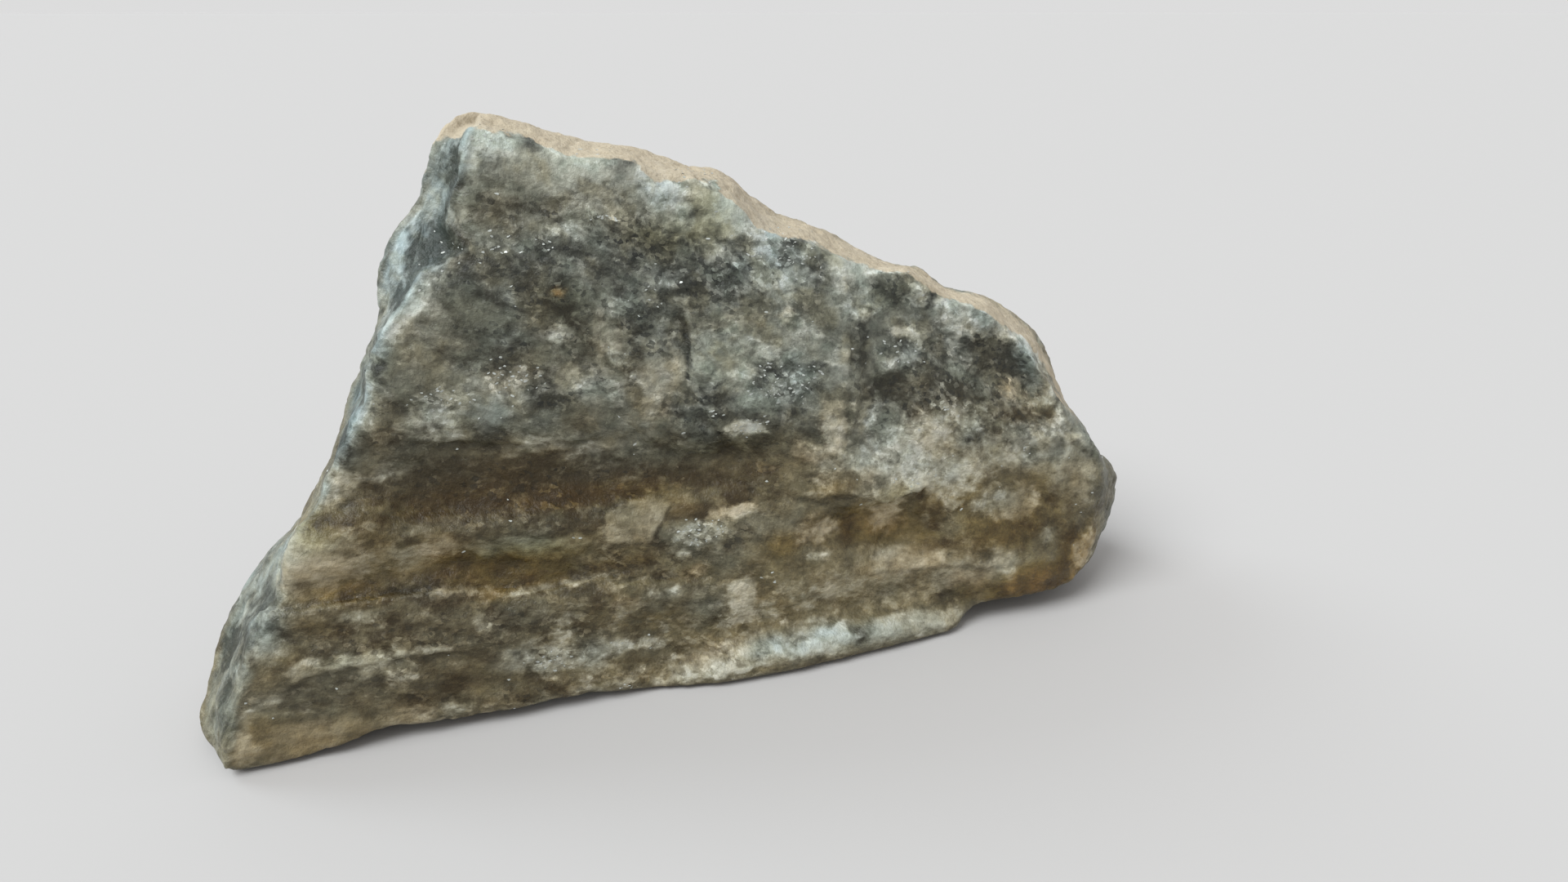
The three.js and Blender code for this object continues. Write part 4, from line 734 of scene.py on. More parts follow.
    (114.5, 8, 2, 3, -20, 0.85), (115, 12, 1.4, 2, 0, 0.2), (117.5, 12, 1.6, 2, 0, 0.2),
)
# Plates with clean edges: outline, and how pale, dark, warm and smooth each is.
plates = (
    # flake
    (((45.2, 24.9), (47.8, 25.4), (48.6, 26.3), (51.3, 26.4), (54, 25), (52.6, 22.6), (51.9, 21.7),
      (50.8, 20.4), (47, 20.8), (45.4, 21.2)), 0.3, 0, 0.2, 0.8),
    # brown cleft
    (((54, 24.9), (59.4, 24.2), (57.7, 22.2), (52.6, 22.6)), 0, 0.75, 0.3, 1),
    # left plate
    (((45.8, 48.3), (48.7, 47.8), (49.3, 46.4), (49.6, 44.3), (47.4, 44.6),
      (45.9, 45.8)), 0.4, 0, 0.3, 0.6),
    # crack plate
    (((50.8, 42.2), (53.4, 43.3), (56.7, 43.1), (56.9, 40.4), (55.6, 39.4), (53.4, 38.2), (52.6, 36),
      (50.6, 36.4), (51.2, 39.4)), 0.42, 0, 0.3, 0.5),
    # lens
    (((60.9, 33.6), (62.4, 34.3), (64.6, 34.1), (66.2, 33.2), (67.2, 32.3), (64.6, 32.4),
      (62, 32.7)), 0.95, 0, 0, 0.2),
    # pale column
    (((74.6, 35.6), (77.6, 35.2), (78.1, 31.8), (76.8, 28.2), (75, 28.6), (74.2, 32)), 0.52, 0, 0.25, 0.35),
    # cream plate
    (((59.9, 13.2), (63, 13.7), (64.6, 12.6), (64.2, 10.4), (63.6, 8.4), (60.6, 8.6)), 0.62, 0, 0.15, 0.5),
    # dark plate
    (((54.8, 12.8), (59.6, 13), (59.8, 9.4), (57.2, 8.6), (54.9, 9.6)), 0.1, 0.25, 0, 0.2),
    # green plate
    (((75.2, 41.8), (77.6, 42.2), (78.7, 41.2), (78.6, 37.6), (75.6, 37.8)), 0.45, 0, 0, 0.7),
    # tongue end
    (((80.6, 4.4), (86, 4.6), (93.6, 3.4), (95, 2.4), (93, 0.6), (80, 0.4)), 0.5, 0, 0, 0.6),
)
# Lines drawn by cracks and by bruised edges: line, half width and strength.
dark_lines = (
    (((57.2, 46.6), (57.3, 42.2), (56.9, 40.2)), 0.3, 1),
    (((79, 46), (79.1, 37.3), (78.8, 35)), 0.35, 0.45), (((45.2, 20.8), (45.3, 25)), 0.2, 0.6),
    (((54, 25), (51.9, 21.7), (50.8, 20.2)), 0.25, 0.7), (((61, 31.9), (66, 31.6), (71, 31.8)), 0.5, 0.6),
    (((20, 28.2), (28, 27.4), (36, 26.8), (45, 27.6)), 0.4, 0.5),
    (((24, 20.2), (32, 19.4), (36, 18.2)), 0.35, 0.5), (((95.4, 13), (96, 17.6)), 0.3, 0.5),
)
pale_lines = (
    (((32.6, 57), (30, 55.6), (28, 54.8), (25.3, 51), (23, 48.8), (21.4, 46)), 0.7, 0.45),
    (((56.9, 40), (57.5, 38), (58.6, 36)), 0.3, 0.75),
    (((21, 45), (20.4, 41.6), (18, 38), (16, 35)), 0.35, 0.5),
    (((8.6, 25.4), (8.5, 20.6), (5.2, 18.4)), 0.35, 0.6),
    (((53.2, 64.8), (54.7, 63.6), (57.4, 63.4)), 0.5, 0.9), (((66, 58.2), (69.8, 56.9)), 0.4, 0.8),
    (((81.5, 51.3), (84, 51.4), (86.6, 50.9)), 0.35, 0.7), (((33.5, 66.4), (33, 63.4)), 0.4, 0.5),
    (((10.5, 11.2), (15, 11.6), (20.4, 12)), 0.35, 0.3),
)
# The lower edge of the cream rind along the crest.
rind_line = (
    (30, 69.4), (32, 69.9), (35.5, 70), (40, 69.2), (43.2, 67.8), (45.2, 66.8), (49.2, 66.3), (52.5, 66.1),
    (53, 64.8), (54.7, 63.5), (59.6, 63.6), (62, 63), (63.2, 61), (65.2, 59.2), (66.8, 57.7), (70, 56.4),
    (73.2, 56), (76.3, 54.1), (78.7, 53), (82.4, 51.4), (86.8, 50.8), (88, 49.5), (90.3, 48.1), (93.4, 46.7),
    (96.2, 45.8), (98.2, 44.3), (104.6, 40.4), (107, 37.4), (109, 34.2))
# Where crystal faces and mica flakes catch the light.
sparkle_areas = (
    (28, 41.4, 3, 1, -5, 0.7), (36, 42.4, 3.4, 2, 0, 0.6), (36.4, 69.3, 3, 0.6, 0, 0.7),
    (36.6, 57.6, 4, 1.6, 0, 0.5), (37, 7, 3, 1.2, 0, 0.6), (41, 57.2, 1.4, 0.8, 0, 1),
    (46.5, 1.5, 1, 0.6, 0, 1), (47, 67.4, 3, 0.8, 0, 0.4), (48, 7, 3, 1, 0, 0.6),
    (49, 59.8, 2.2, 0.6, 0, 1), (53, 51, 3, 2, 0, 0.3), (53.6, 48.8, 1.4, 0.8, 0, 1),
    (57.2, 20.4, 3.2, 1.5, 0, 0.8), (59, 64, 2.4, 0.8, -5, 1), (60.2, 35.6, 1.4, 0.7, 0, 1),
    (64, 33.2, 3, 0.9, 0, 0.8), (66.5, 13, 1.2, 1, 0, 0.9), (69.5, 38.4, 4.6, 2.2, -5, 0.8),
    (70, 54.6, 4, 2.4, 0, 0.6), (71.6, 52.4, 1, 0.8, 0, 1), (86, 41, 4, 2, 0, 0.3),
    (88.4, 23.2, 3, 1.6, 0, 0.5), (94, 31.8, 3, 1.2, 0, 0.6), (105.6, 24.8, 1, 0.6, 0, 1),
)

# The outlines of the areas are broken by the grain of the stone: moved by about this many
# millimetres, and frayed by about this share of their size.
DRIFT, DRIFT_WIDTHS = 0.55, (2.6, 2.6, 1.7)
FRAY, FRAY_WIDTHS = 0.3, (1.5, 1.5, 1.0)
drift = np.column_stack([DRIFT * rough(banded, DRIFT_WIDTHS, 2, seed, keep=0.6) for seed in (81, 91)])
grain_edge = FRAY * rough(banded, FRAY_WIDTHS, 2, seed=101, keep=0.6)


def laid(areas, blur=0.45, joined=np.maximum):
    """How strongly a set of areas covers each place of the face."""
    cover = np.zeros(len(spots))
    for along, up, half_long, half_high, turn, strength in areas:
        turn = math.radians(turn)
        x, z = (on_face + drift - (along, up)).T
        long_way = (x * math.cos(turn) + z * math.sin(turn)) / half_long
        high_way = (z * math.cos(turn) - x * math.sin(turn)) / half_high
        away = np.hypot(long_way, high_way) + grain_edge
        cover = joined(cover, strength * (1 - between(away, 1 - blur, 1 + blur)))
    return cover * seen


def drawn(lines):
    """How strongly a set of lines covers each place of the face."""
    cover = np.zeros(len(spots))
    for line, half_width, strength in lines:
        distance = beside_line(line)[0] + 0.5 * half_width * drift[:, 0]
        fading = between(distance, 0.4 * half_width, 1.8 * half_width)
        cover = np.maximum(cover, strength * (1 - fading))
    return cover * seen


pale = np.maximum(laid(pale_areas), drawn(pale_lines))
dark = laid(dark_areas)
tan = laid(tan_areas, 0.5)
smooth = laid(smooth_areas, 0.6)
for outline, *amounts in plates:
    cover = between(inside_outline(outline) + 0.8 * grain_edge, -0.3, 0.35) * seen
    pale, dark, tan, smooth = (
        layer * (1 - cover) + cover * amount
        for layer, amount in zip((pale, dark, tan, smooth), amounts))
dark = np.maximum(dark, drawn(dark_lines))
# The hidden sides take their tones and stains from wide noise along the same bands.
HIDDEN_TONE, HIDDEN_TONE_WIDTHS = 0.4, (20, 20, 6)
HIDDEN_STAIN, HIDDEN_STAIN_WIDTHS = 0.85, (24, 24, 9)
tone_noise = rough(banded, HIDDEN_TONE_WIDTHS, 3, seed=121)
hidden_tone = (1 - seen) * HIDDEN_TONE * np.clip(tone_noise - 0.05, -1, 1)
tone = laid(tone_areas, 0.6, np.add) + hidden_tone
lift = np.maximum(tone, 0)
drop = np.maximum(-tone, 0)
pale = np.clip(pale + lift - 0.5 * drop, 0, 1)
dark = np.clip(dark + drop - 0.5 * lift, 0, 1)
stain_noise = rough(banded, HIDDEN_STAIN_WIDTHS, 2, seed=131) + 0.5 * thin_banded
hidden_stain = (1 - seen) * between(stain_noise, -0.1, 0.9) * HIDDEN_STAIN
brown = np.maximum(laid(brown_areas, 0.7), hidden_stain)
brown, olive, cool = (
    relaxed(layer, edge_ends, STAIN_PASSES)
    for layer in (brown, laid(olive_areas, 0.6), laid(cool_areas, 0.6)))
brown = np.maximum(brown, laid(rust_spots, 0.7))

# Ridges and hollows of the finished relief, by how far each point stands out from its neighbours.
# The material paints the ridges a little paler, a painted highlight, and the hollows darker, painted shade.
places = points_of(mesh)
outward = normals_of(mesh)
BEND_PASSES = 4
SHARP_FROM, SHARP_TO = 0.003, 0.025
bend = np.einsum("ij,ij->i", places - neighbour_mean(places, edge_ends), outward) / MM
bend = relaxed(bend, edge_ends, BEND_PASSES)
ridge = between(bend, SHARP_FROM, SHARP_TO)
hollow = between(-bend, SHARP_FROM, SHARP_TO)

# The rind lies above its lower edge, on what faces upwards high on the stone and on the right
# shoulder, and is worn through in places behind the crest.
UPWARD_PASSES = 8
WEAR_WIDTH = 11
rind_away, rind_side = beside_line(rind_line)
above_rind = np.maximum(between(rind_side * rind_away + grain_edge, -0.3, 0.4), 1 - seen)
high_up = between(spots[:, 2] + 0.35 * spots[:, 0], 64, 72) * between(spots[:, 0], 27, 31)
shoulder = between(spots[:, 0], 100, 107)
upward = relaxed(outward[:, 2], edge_ends, UPWARD_PASSES)
rind = between(upward + 0.3 * shoulder, 0.3, 0.6) * above_rind * high_up
behind_crest = spots[:, 1] + 0.12 * spots[:, 0] - 25
rind_wear = rough(spots, WEAR_WIDTH, 4, seed=141)
rind *= 1 - between(behind_crest, 2, 10) * between(rind_wear, -0.3, 0.25)

# Flakes glitter in their clusters, and thinly in rows along the banding.
GLINT_ROW_WIDTHS = (6, 6, 2.2)
sugary = laid(sparkle_areas, 0.7)
glinting_rows = between(rough(banded, GLINT_ROW_WIDTHS, 3, seed=151), -0.1, 0.6)
glinting_rows *= 0.11 - 0.07 * thin_banded
sparkle = np.maximum(laid(sparkle_areas) ** 1.5, glinting_rows) * (1 - rind) * clear_of_foot

# What the material reads, four amounts to a layer.
stone_layers = {
    "mineral": (pale, dark, smooth, rind),
    "stain_and_light_tint": (brown, olive, cool, tan),
    "relief_light_and_bands": (ridge, hollow, thin_banded, np.maximum(flank, 0.6 * left_end)),
    "sparkle": (sparkle, sugary, sparkle, sparkle),
}
for layer_name, layer_values in stone_layers.items():
    layer = mesh.color_attributes.new(layer_name, "FLOAT_COLOR", "POINT")
    layer.data.foreach_set("color", np.column_stack(layer_values).astype(np.float32).ravel())


def screen_colour(red, green, blue):
    """A colour given as it looks on a screen, 0 to 255, turned into light."""
    return tuple(((part / 255 + 0.055) / 1.055) ** 2.4 for part in (red, green, blue)) + (1.0,)


class Field:
    """A value, colour, vector or geometry in a node tree. Arithmetic on it adds the nodes."""

    def __init__(self, tree, socket):
        self.tree = tree
        self.socket = socket

    def node(self, kind, inputs=None, output=0, **settings):
        """Adds a node with these settings and inputs, and returns one of its outputs."""
        made = self.tree.nodes.new(kind)
        for name, setting in settings.items():
            setattr(made, name, setting)
        for name, value in (inputs or {}).items():
            if isinstance(value, Field):
                self.tree.links.new(value.socket, made.inputs[name])
            else:
                made.inputs[name].default_value = value
        return Field(self.tree, made.outputs[output])

    def math(self, operation, *values):
        """The result of a sum, difference or product of single values."""
        return self.node("ShaderNodeMath", dict(enumerate(values)), operation=operation)

    def __add__(self, other):
        return self.math("ADD", self, other)

    def __sub__(self, other):
        return self.math("SUBTRACT", self, other)

    def __rsub__(self, other):
        return self.math("SUBTRACT", other, self)

    def __mul__(self, other):
        return self.math("MULTIPLY", self, other)

    __radd__ = __add__
    __rmul__ = __mul__

    def clipped(self):
        """This value kept from 0 to 1."""
        return self.node("ShaderNodeClamp", {0: self})

    def between(self, low, high):
        """0 below low, 1 above high, and a soft step between them."""
        inputs = {0: self, 1: low, 2: high}
        return self.node("ShaderNodeMapRange", inputs, interpolation_type="SMOOTHSTEP")

    def mixed(self, other, share, blend_type="MIX"):
        """This colour with another laid over it, as far as the share says."""
        inputs = {0: share, 6: self, 7: other}
        return self.node("ShaderNodeMix", inputs, output=2, data_type="RGBA", blend_type=blend_type)

    def tinted(self, colour, share):
        """This colour multiplied by a darker tint, as far as the share says."""
        return self.mixed(colour, share, "MULTIPLY")

    def vector(self, operation, inputs):
        """The result of an operation on this vector; the inputs after it are given by number."""
        return self.node("ShaderNodeVectorMath", {0: self, **inputs}, operation=operation)

    def parts(self):
        """The red, green and blue of this colour."""
        return [self.node("ShaderNodeSeparateColor", {0: self}, output=part) for part in range(3)]


# The minerals.
QUARTZ_GREY = screen_colour(140, 142, 128)
QUARTZ_DEEP = screen_colour(84, 86, 76)
MICA_DARK = screen_colour(39, 40, 33)
MICA_BROWN = screen_colour(68, 58, 30)
FELDSPAR = screen_colour(192, 194, 181)
MILKY_WHITE = screen_colour(216, 219, 211)
FLANK_DEEP = screen_colour(50, 60, 56)
FLANK_PALE = screen_colour(170, 183, 182)
# Stains and tints, which only darken what is below them. Along the foot the brown and amber are
# partly painted warm light bounced up from below; the cool tint is partly painted reflection of the
# cool window light on the left edges and rims.
BROWN_STAIN_AND_WARM_BOUNCE = screen_colour(212, 182, 126)
AMBER_STAIN_AND_WARM_BOUNCE = screen_colour(238, 191, 120)
OLIVE_STAIN = screen_colour(196, 192, 140)
COOL_TINT_AND_WINDOW_REFLECTION = screen_colour(222, 232, 240)
TAN_STAIN = screen_colour(240, 218, 186)
WARM_GRAIN = screen_colour(240, 230, 210)
COOL_GRAIN = screen_colour(228, 235, 235)
# The rind, its grey bare places, and black specks.
CREAM_RIND = screen_colour(182, 169, 146)
RIND_GREY = screen_colour(126, 120, 100)
BLACK_SPECK = screen_colour(36, 38, 34)

stone_finish = bpy.data.materials.new("banded_quartz")
stone_finish.use_nodes = True
tree = stone_finish.node_tree
tree.nodes.clear()
start = Field(tree, None)

# Places as for the relief: in millimetres, measured across the banding, and squeezed so that
# grains come out longer than high, more so in the thin bands than in the massive block.
STREAKY_SQUEEZE = (0.64, 0.64, 1.0)
BLOCKY_SQUEEZE = (0.75, 0.75, 1.0)
object_place = start.node("ShaderNodeTexCoord", output="Object")
in_mm = object_place.vector("SUBTRACT", {1: corner}).vector("SCALE", {3: 1 / MM})
along, back, up = (start.node("ShaderNodeSeparateXYZ", {0: in_mm}, output=part) for part in range(3))
level = up + along * BAND_DIP + along * along * BAND_SAG - back * BAND_BACK
bands = start.node("ShaderNodeCombineXYZ", {0: along, 1: back, 2: level})
streaky = bands.vector("MULTIPLY", {1: STREAKY_SQUEEZE})
blocky = bands.vector("MULTIPLY", {1: BLOCKY_SQUEEZE})


def grain(vector, width, detail=4.0, keep=0.5, bend=0.0):
    """Noise around 0, about 0.3 either way, with lumps of this width in millimetres."""
    inputs = {"Vector": vector, "Scale": 1 / width, "Detail": detail}
    inputs.update({"Roughness": keep, "Distortion": bend})
    return start.node("ShaderNodeTexNoise", inputs) - 0.5


def blend(share, first, second):
    """The first colour where the share is 0, the second where it is 1."""
    return start.node("ShaderNodeMix", {0: share, 6: first, 7: second}, output=2, data_type="RGBA")


def grey(value):
    """A grey of this brightness."""
    return start.node("ShaderNodeCombineColor", {0: value, 1: value, 2: value})


def laid_by_hand(name):
    """The four amounts of one of the stone's layers."""
    colour = start.node("ShaderNodeAttribute", attribute_name=name)
    alpha = start.node("ShaderNodeAttribute", attribute_name=name, output="Alpha")
    return colour.parts() + [alpha]


pale, dark, smooth, rind = laid_by_hand("mineral")
brown, olive, cool, tan = laid_by_hand("stain_and_light_tint")
ridges, hollows, thin, flank = laid_by_hand("relief_light_and_bands")
sugary = laid_by_hand("sparkle")[1]


def coarse_grain(widths, keeps, bends):
    """Grain drawn out along the thin bands below and blocky in the massive block above."""
    low, high = (
        grain(place, width, 5, keep, bend)
        for place, width, keep, bend in zip((streaky, blocky), widths, keeps, bends))
    return thin * low + (1 - thin) * high


# Two coarse grains and one fine one. Smooth places are calmer, sugary ones crisper.
mica_grain = coarse_grain(widths=(2.0, 2.5), keeps=(0.58, 0.58), bends=(0.3, 0.6))
pale_grain = coarse_grain(widths=(1.4, 2.0), keeps=(0.6, 0.58), bends=(0.3, 0.8))
fine = grain(bands, width=0.7, detail=3, keep=0.6)
calm = 1 - smooth * 0.7
crisp = calm * (0.8 + sugary * 0.8)


def crystals(width):
    """Three independent amounts around 0, each even over a crystal of about this width."""
    inputs = {"Vector": bands, "Scale": 1 / width, "Detail": 2.0}
    jitter = start.node("ShaderNodeTexNoise", inputs, output="Color")
    kinds = []
    for place in (streaky, blocky):
        moved = jitter.vector("MULTIPLY_ADD", {1: (CRYSTAL_JITTER * width,) * 3, 2: place})
        inputs = {"Vector": moved, "Scale": 1 / width}
        kinds.append(start.node("ShaderNodeTexVoronoi", inputs, output="Color"))
    low, high = kinds
    return [part - 0.5 for part in high.mixed(low, thin).parts()]


# How far crystals are pushed out of shape, in their widths, and the widths of both kinds.
CRYSTAL_JITTER = 0.9
BIG_CRYSTAL = 1.3
SMALL_CRYSTAL = 0.45
big_crystals = crystals(BIG_CRYSTAL)
small_crystals = crystals(SMALL_CRYSTAL)

# How much of a place each mineral takes: its own areas and grains together, cut off softly.
# White is only what is palest of all. The covers are the most that a mineral, or the painted shade
# in the hollows, hides below it.
DARK_COVER, PALE_COVER, WHITE_COVER, HOLLOW_SHADE_COVER = 0.9, 0.9, 0.85, 0.3
body = (grain(blocky, width=3.0, detail=4) * 2.4 + fine * 0.7 * crisp + 0.5).clipped()
cluster = mica_grain * 2.8 * calm + (big_crystals[0] * 0.4 + small_crystals[0] * 0.3) * crisp
dark_share = (dark + cluster).between(-0.12, 1.0)
fleck = pale_grain * 2.5 * calm + (big_crystals[1] * 0.4 + small_crystals[1] * 0.3) * crisp
# Ridges of the relief count a little paler here: a painted highlight.
pale_share = (pale * 1.1 + fleck + ridges * 0.12).between(0.0, 1.1)
white_share = (pale * 1.1 + fleck + small_crystals[1] * 0.4 * crisp - 0.7).between(0, 0.5)

colour = blend(body, QUARTZ_DEEP, QUARTZ_GREY)
dark_grain = blend((brown * (1 - cool * 0.8)).clipped(), MICA_DARK, MICA_BROWN)
colour = colour.mixed(dark_grain, dark_share * DARK_COVER)
colour = colour.mixed(FELDSPAR, pale_share * (1 - dark * 0.45) * PALE_COVER)
colour = colour.mixed(MILKY_WHITE, white_share * (1 - brown * 0.6) * WHITE_COVER)
# Hollows of the relief are darkened with the mica colour: painted shade.
colour = colour.mixed(MICA_DARK, hollows * HOLLOW_SHADE_COVER)

# Single grains: pale specks that are partly painted glints, black specks, and grains a little
# lighter or darker than the next.
speck_zone = grain(blocky, width=4.0, detail=2).between(-0.12, 0.12) * crisp
glint_speck = small_crystals[0].between(0.38, 0.42) * speck_zone
black = small_crystals[2].between(0.33, 0.4) * (dark * 0.7 + 0.4) * calm
black = black * (1 - brown * 0.5).clipped()
colour = colour.mixed(FELDSPAR, (glint_speck * (0.3 + pale * 0.4)).clipped())
colour = colour.mixed(BLACK_SPECK, (black * 0.9).clipped())
grain_tone = 0.97 + small_crystals[2] * 0.36 + big_crystals[2] * 0.16
colour = colour.tinted(grey(grain_tone), crisp.clipped())

# The left flank broke along a shear: glassy and blue-green, with slanting streaks.
FLANK_COVER = 0.75
slant = start.node(
    "ShaderNodeCombineXYZ",
    {0: along * 0.87 - up * 0.5, 1: back * 0.4, 2: (along * 0.5 + up * 0.87) * 0.28})
streaks = grain(slant, width=0.9, detail=5, keep=0.65, bend=0.5)
flank_tone = (0.36 + streaks * 2.6 + pale * 0.55 - dark * 0.5).clipped()
colour = colour.mixed(blend(flank_tone, FLANK_DEEP, FLANK_PALE), flank * FLANK_COVER)

# Stains and tints colour what lies under them. They are broken up by the pale grain, and brown
# is held back where the stone is pale or clear. The thickest brown turns amber. Low on the foot the
# brown and amber are partly painted warm bounce light, and the cool tint is partly painted
# reflection of the window light.
AMBER_FROM, AMBER_COVER = 0.95, 0.8
stain_break = 1 + pale_grain * 0.7
brown_share = brown * stain_break * (1 - cool * 0.8) * (1.1 - pale_share * 0.6)
colour = colour.tinted(BROWN_STAIN_AND_WARM_BOUNCE, brown_share.clipped())
colour = colour.tinted(AMBER_STAIN_AND_WARM_BOUNCE, (brown * stain_break - AMBER_FROM).clipped() * AMBER_COVER)
colour = colour.tinted(OLIVE_STAIN, (olive * stain_break).clipped())
colour = colour.tinted(COOL_TINT_AND_WINDOW_REFLECTION, cool)
colour = colour.tinted(TAN_STAIN, tan * (1 - brown * 0.6))
warmth = grain(bands, width=4.5, detail=3)
colour = colour.tinted(WARM_GRAIN, warmth.between(-0.02, 0.14) * (0.75 - brown * 0.4).clipped())
colour = colour.tinted(COOL_GRAIN, (0 - warmth).between(0.0, 0.14) * (1 - brown))

# The rind is whole along the crest, and grey and worn through behind it.
RIND_COVER = 0.88
past_crest = (back + along * 0.12).between(25.5, 31)
rind_break = grain(bands, width=2.4, detail=5, keep=0.65) * (1.1 + past_crest * 0.9)
rind_share = (rind - past_crest * 0.33 + rind_break).between(0.25, 0.75)
cloud = grain(bands, width=9.0, detail=6, keep=0.68).between(-0.15, 0.12)
cloud = cloud * (past_crest * 0.84 + 0.06)
rind_tone = 1.0 + pale_grain * 0.25 + fine * 0.25
rind_colour = blend(cloud, CREAM_RIND, RIND_GREY).tinted(grey(rind_tone), 1.0)
colour = colour.mixed(rind_colour, rind_share * RIND_COVER)

# The surface: rougher in mica and rind, glossier in smooth places and on bright specks.
BUMP_DEPTH, BUMP_STRENGTH = 0.36 * MM, 0.85
roughness = 0.44 + fine * 0.3 + dark_share * 0.1 + rind_share * 0.25 - smooth * 0.04 - glint_speck * 0.2
height = fine * 1.0 + pale_grain * 0.6 + small_crystals[2] * 0.35 * crisp
height = height + glint_speck * 0.2 + mica_grain * 0.4
bump_inputs = {"Height": height, "Distance": BUMP_DEPTH, "Strength": BUMP_STRENGTH}
bump = start.node("ShaderNodeBump", bump_inputs, output="Normal")

shader = tree.nodes.new("ShaderNodeBsdfPrincipled")
shader.inputs["IOR"].default_value = 1.54
shader.inputs["Specular IOR Level"].default_value = 0.3
shader.inputs["Subsurface Weight"].default_value = 0.12
shader.inputs["Subsurface Radius"].default_value = (1.0, 0.95, 0.85)
shader.inputs["Subsurface Scale"].default_value = 0.6 * MM
tree.links.new(colour.socket, shader.inputs["Base Color"])
tree.links.new(roughness.socket, shader.inputs["Roughness"])
tree.links.new(bump.socket, shader.inputs["Normal"])
output = tree.nodes.new("ShaderNodeOutputMaterial")
tree.links.new(shader.outputs[0], output.inputs["Surface"])
mesh.materials.clear()
mesh.materials.append(stone_finish)

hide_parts("quartz_rock")
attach(stone, "root")


# ---------------------------------------------------------------------------------------------
# Mica flakes: thin bright plates, a quarter to two thirds of a millimetre long, in the quartz.
# They lie half sunk in the broken skin, thickest in a few clusters of the massive upper block.
# ---------------------------------------------------------------------------------------------

FLAKES_PER_SQUARE_METRE = 1.7e6
FLAKE_SIZE = 0.29 * MM
FLAKE_SEED = 7
# Shares of the size: half width and thickness, smallest and largest, and lengths of the sides.
FLAKE_RADIUS, FLAKE_DEPTH = 0.5, 0.14
FLAKE_SMALLEST, FLAKE_LARGEST = 0.55, 1.3
FLAKE_SIDES = (1.7, 0.75, 1.0)
# How far a flake is turned out of the skin at most about each axis, in radians.
FLAKE_TILT = Vector((0.4, 0.4, 0.6))

mica = bpy.data.materials.new("mica")
mica.use_nodes = True
mica_shader = mica.node_tree.nodes["Principled BSDF"]
mica_shader.inputs["Base Color"].default_value = screen_colour(176, 180, 174)
mica_shader.inputs["Roughness"].default_value = 0.26
mica_shader.inputs["Metallic"].default_value = 0.1
mica_shader.inputs["IOR"].default_value = 1.6

scatter = bpy.data.node_groups.new("scatter_flakes", "GeometryNodeTree")
for socket_name, socket_kind, direction in (
        ("Skin", "NodeSocketGeometry", "INPUT"),
        ("Flakes per square metre", "NodeSocketFloat", "INPUT"),
        ("Flake size", "NodeSocketFloat", "INPUT"),
        ("Seed", "NodeSocketInt", "INPUT"),
        ("Flakes", "NodeSocketGeometry", "OUTPUT")):
    scatter.interface.new_socket(socket_name, in_out=direction, socket_type=socket_kind)
given = scatter.nodes.new("NodeGroupInput").outputs
skin_in, per_area, flake_size, flake_seed = (Field(scatter, socket) for socket in given[:4])
zone = skin_in.node("GeometryNodeInputNamedAttribute", {"Name": "sparkle"}, data_type="FLOAT")
scattered = scatter.nodes.new("GeometryNodeDistributePointsOnFaces")
scatter.links.new(skin_in.socket, scattered.inputs["Mesh"])
scatter.links.new((per_area * zone).socket, scattered.inputs["Density"])
scatter.links.new(flake_seed.socket, scattered.inputs["Seed"])
points = Field(scatter, scattered.outputs["Points"])
lying = Field(scatter, scattered.outputs["Rotation"])
plate = skin_in.node(
    "GeometryNodeMeshCylinder", {"Vertices": 6, "Radius": FLAKE_RADIUS, "Depth": FLAKE_DEPTH})
tilt = skin_in.node(
    "FunctionNodeRandomValue", {"Min": -FLAKE_TILT, "Max": FLAKE_TILT, "Seed": flake_seed},
    data_type="FLOAT_VECTOR")
size = skin_in.node(
    "FunctionNodeRandomValue", {2: FLAKE_SMALLEST, 3: FLAKE_LARGEST, "Seed": flake_seed},
    output=1, data_type="FLOAT")
turned = lying.node("FunctionNodeRotateRotation", {0: lying, 1: tilt}, rotation_space="LOCAL")
sides = (size * flake_size).vector("MULTIPLY", {1: FLAKE_SIDES})
flakes = points.node(
    "GeometryNodeInstanceOnPoints",
    {"Points": points, "Instance": plate, "Rotation": turned, "Scale": sides})
flakes = flakes.node("GeometryNodeRealizeInstances", {"Geometry": flakes})
flakes = flakes.node("GeometryNodeSetMaterial", {"Geometry": flakes, "Material": mica})
scatter.links.new(flakes.socket, scatter.nodes.new("NodeGroupOutput").inputs[0])

flake_piece = bpy.data.objects.new("mica_flakes", mesh.copy())
bpy.context.scene.collection.objects.link(flake_piece)
scatterer = flake_piece.modifiers.new("scatter_flakes", "NODES")
scatterer.node_group = scatter
for socket_name, value in (
        ("Flakes per square metre", FLAKES_PER_SQUARE_METRE), ("Flake size", FLAKE_SIZE),
        ("Seed", FLAKE_SEED)):
    scatterer[scatter.interface.items_tree[socket_name].identifier] = value
bpy.context.view_layer.update()
flake_mesh = bpy.data.meshes.new_from_object(
    flake_piece.evaluated_get(bpy.context.evaluated_depsgraph_get()))
flake_piece.modifiers.clear()
flake_piece.data = flake_mesh
flake_mesh.name = "mica_flakes"

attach(flake_piece, "root")


# ---------------------------------------------------------------------------------------------
# The studio: a plain pale floor that runs out of the picture, a wide cool window light from the
# left, a paler one behind the left shoulder, and a camera that looks down a little on the face.
# ---------------------------------------------------------------------------------------------

FLOOR_HALF = 60.0
FLOOR_COLOUR = (0.45, 0.44, 0.432, 1)
ROOM_COLOUR = (0.72, 0.72, 0.72, 1)
# Length of the lens and width of the film in millimetres; turn to the right and fall in degrees.
LENS = 24.45
FILM_WIDTH = 36.0
CAMERA_TURN = 19.92
CAMERA_FALL = 22.0
NEAREST, FARTHEST = 0.005, 200.0

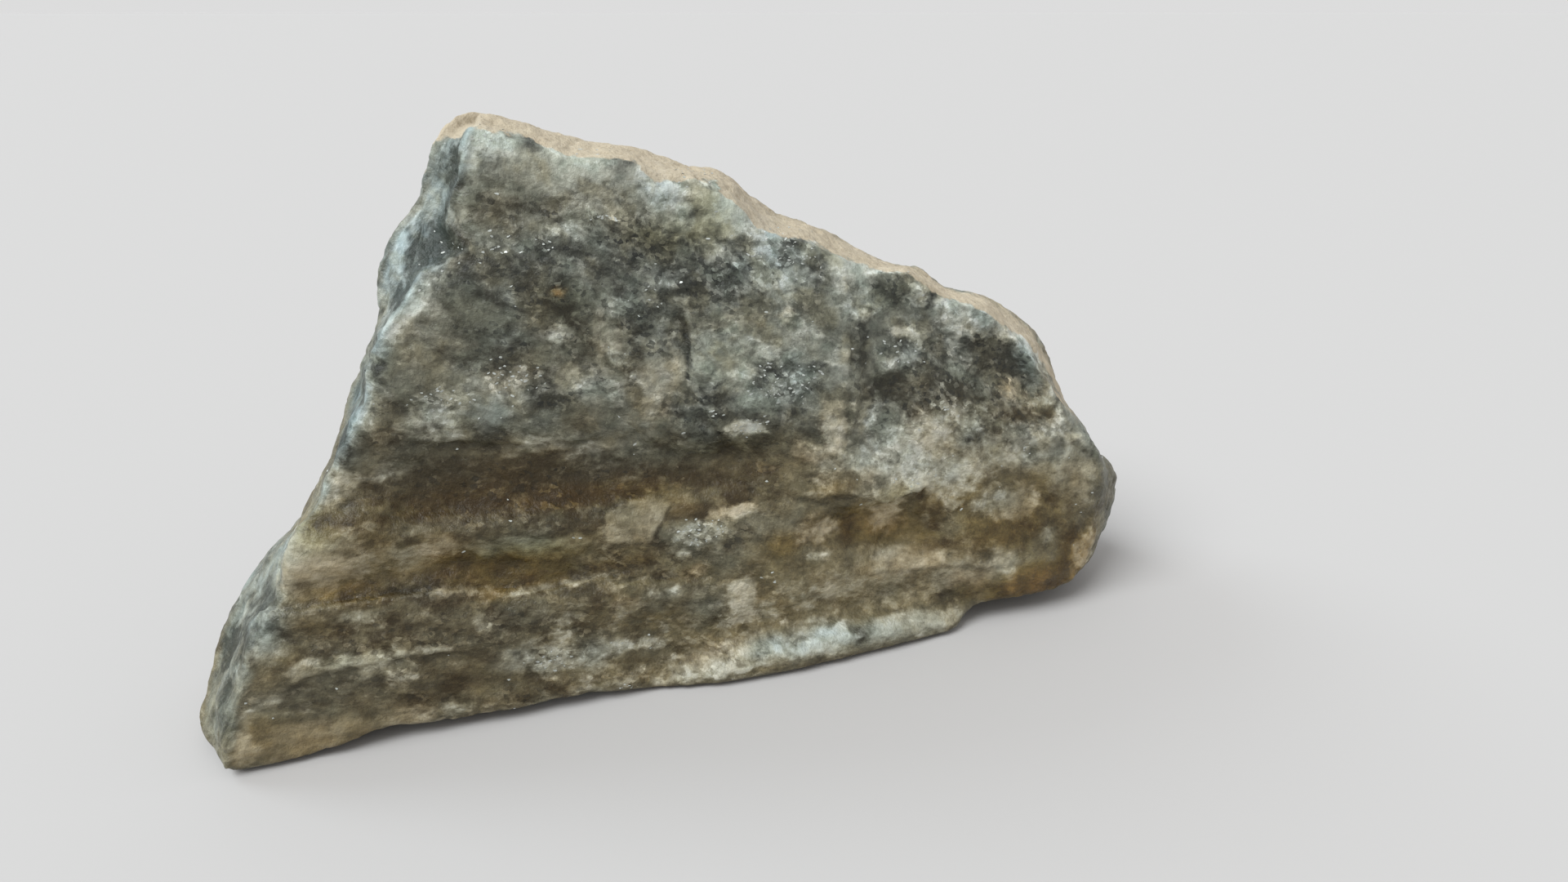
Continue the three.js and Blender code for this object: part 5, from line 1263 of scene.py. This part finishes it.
floor_mesh = bpy.data.meshes.new("floor")
floor_mesh.from_pydata(
    [(-FLOOR_HALF, -FLOOR_HALF, 0), (FLOOR_HALF, -FLOOR_HALF, 0), (FLOOR_HALF, FLOOR_HALF, 0),
     (-FLOOR_HALF, FLOOR_HALF, 0)], [], [(0, 1, 2, 3)])
floor = bpy.data.objects.new("floor", floor_mesh)
bpy.context.scene.collection.objects.link(floor)
floor_finish = bpy.data.materials.new("pale_floor")
floor_finish.use_nodes = True
floor_shader = floor_finish.node_tree.nodes["Principled BSDF"]
floor_shader.inputs["Base Color"].default_value = FLOOR_COLOUR
floor_shader.inputs["Roughness"].default_value = 0.9
floor_shader.inputs["Specular IOR Level"].default_value = 0.1
floor_mesh.materials.append(floor_finish)


def soft_light(name, side, width, power, colour):
    """A far light on this side, as wide in the sky as this many degrees, even over the floor."""
    lamp = bpy.data.lights.new(name, "SUN")
    lamp.angle = math.radians(width)
    lamp.energy = power
    lamp.color = colour
    holder = bpy.data.objects.new(name, lamp)
    holder.rotation_euler = Vector(side).to_track_quat("Z", "Y").to_euler()
    bpy.context.scene.collection.objects.link(holder)


soft_light("window", side=(-0.9, -0.35, 1.25), width=38, power=3.0, colour=(0.95, 0.98, 1.0))
soft_light("back_window", side=(-0.8, 0.75, 0.9), width=25, power=0.9, colour=(0.84, 0.93, 1.0))

room = bpy.data.worlds.new("room")
room.use_nodes = True
room.node_tree.nodes["Background"].inputs["Color"].default_value = ROOM_COLOUR
room.node_tree.nodes["Background"].inputs["Strength"].default_value = 1.0
bpy.context.scene.world = room
bpy.context.scene.view_settings.view_transform = "Standard"

camera = bpy.data.objects.new("camera", bpy.data.cameras.new("camera"))
camera.data.lens = LENS
camera.data.sensor_width = FILM_WIDTH
camera.data.clip_start = NEAREST
camera.data.clip_end = FARTHEST
camera.location = corner + Vector(EYE) * MM
camera.rotation_euler = (math.radians(90 - CAMERA_FALL), 0, math.radians(-CAMERA_TURN))
bpy.context.scene.collection.objects.link(camera)
bpy.context.scene.camera = camera
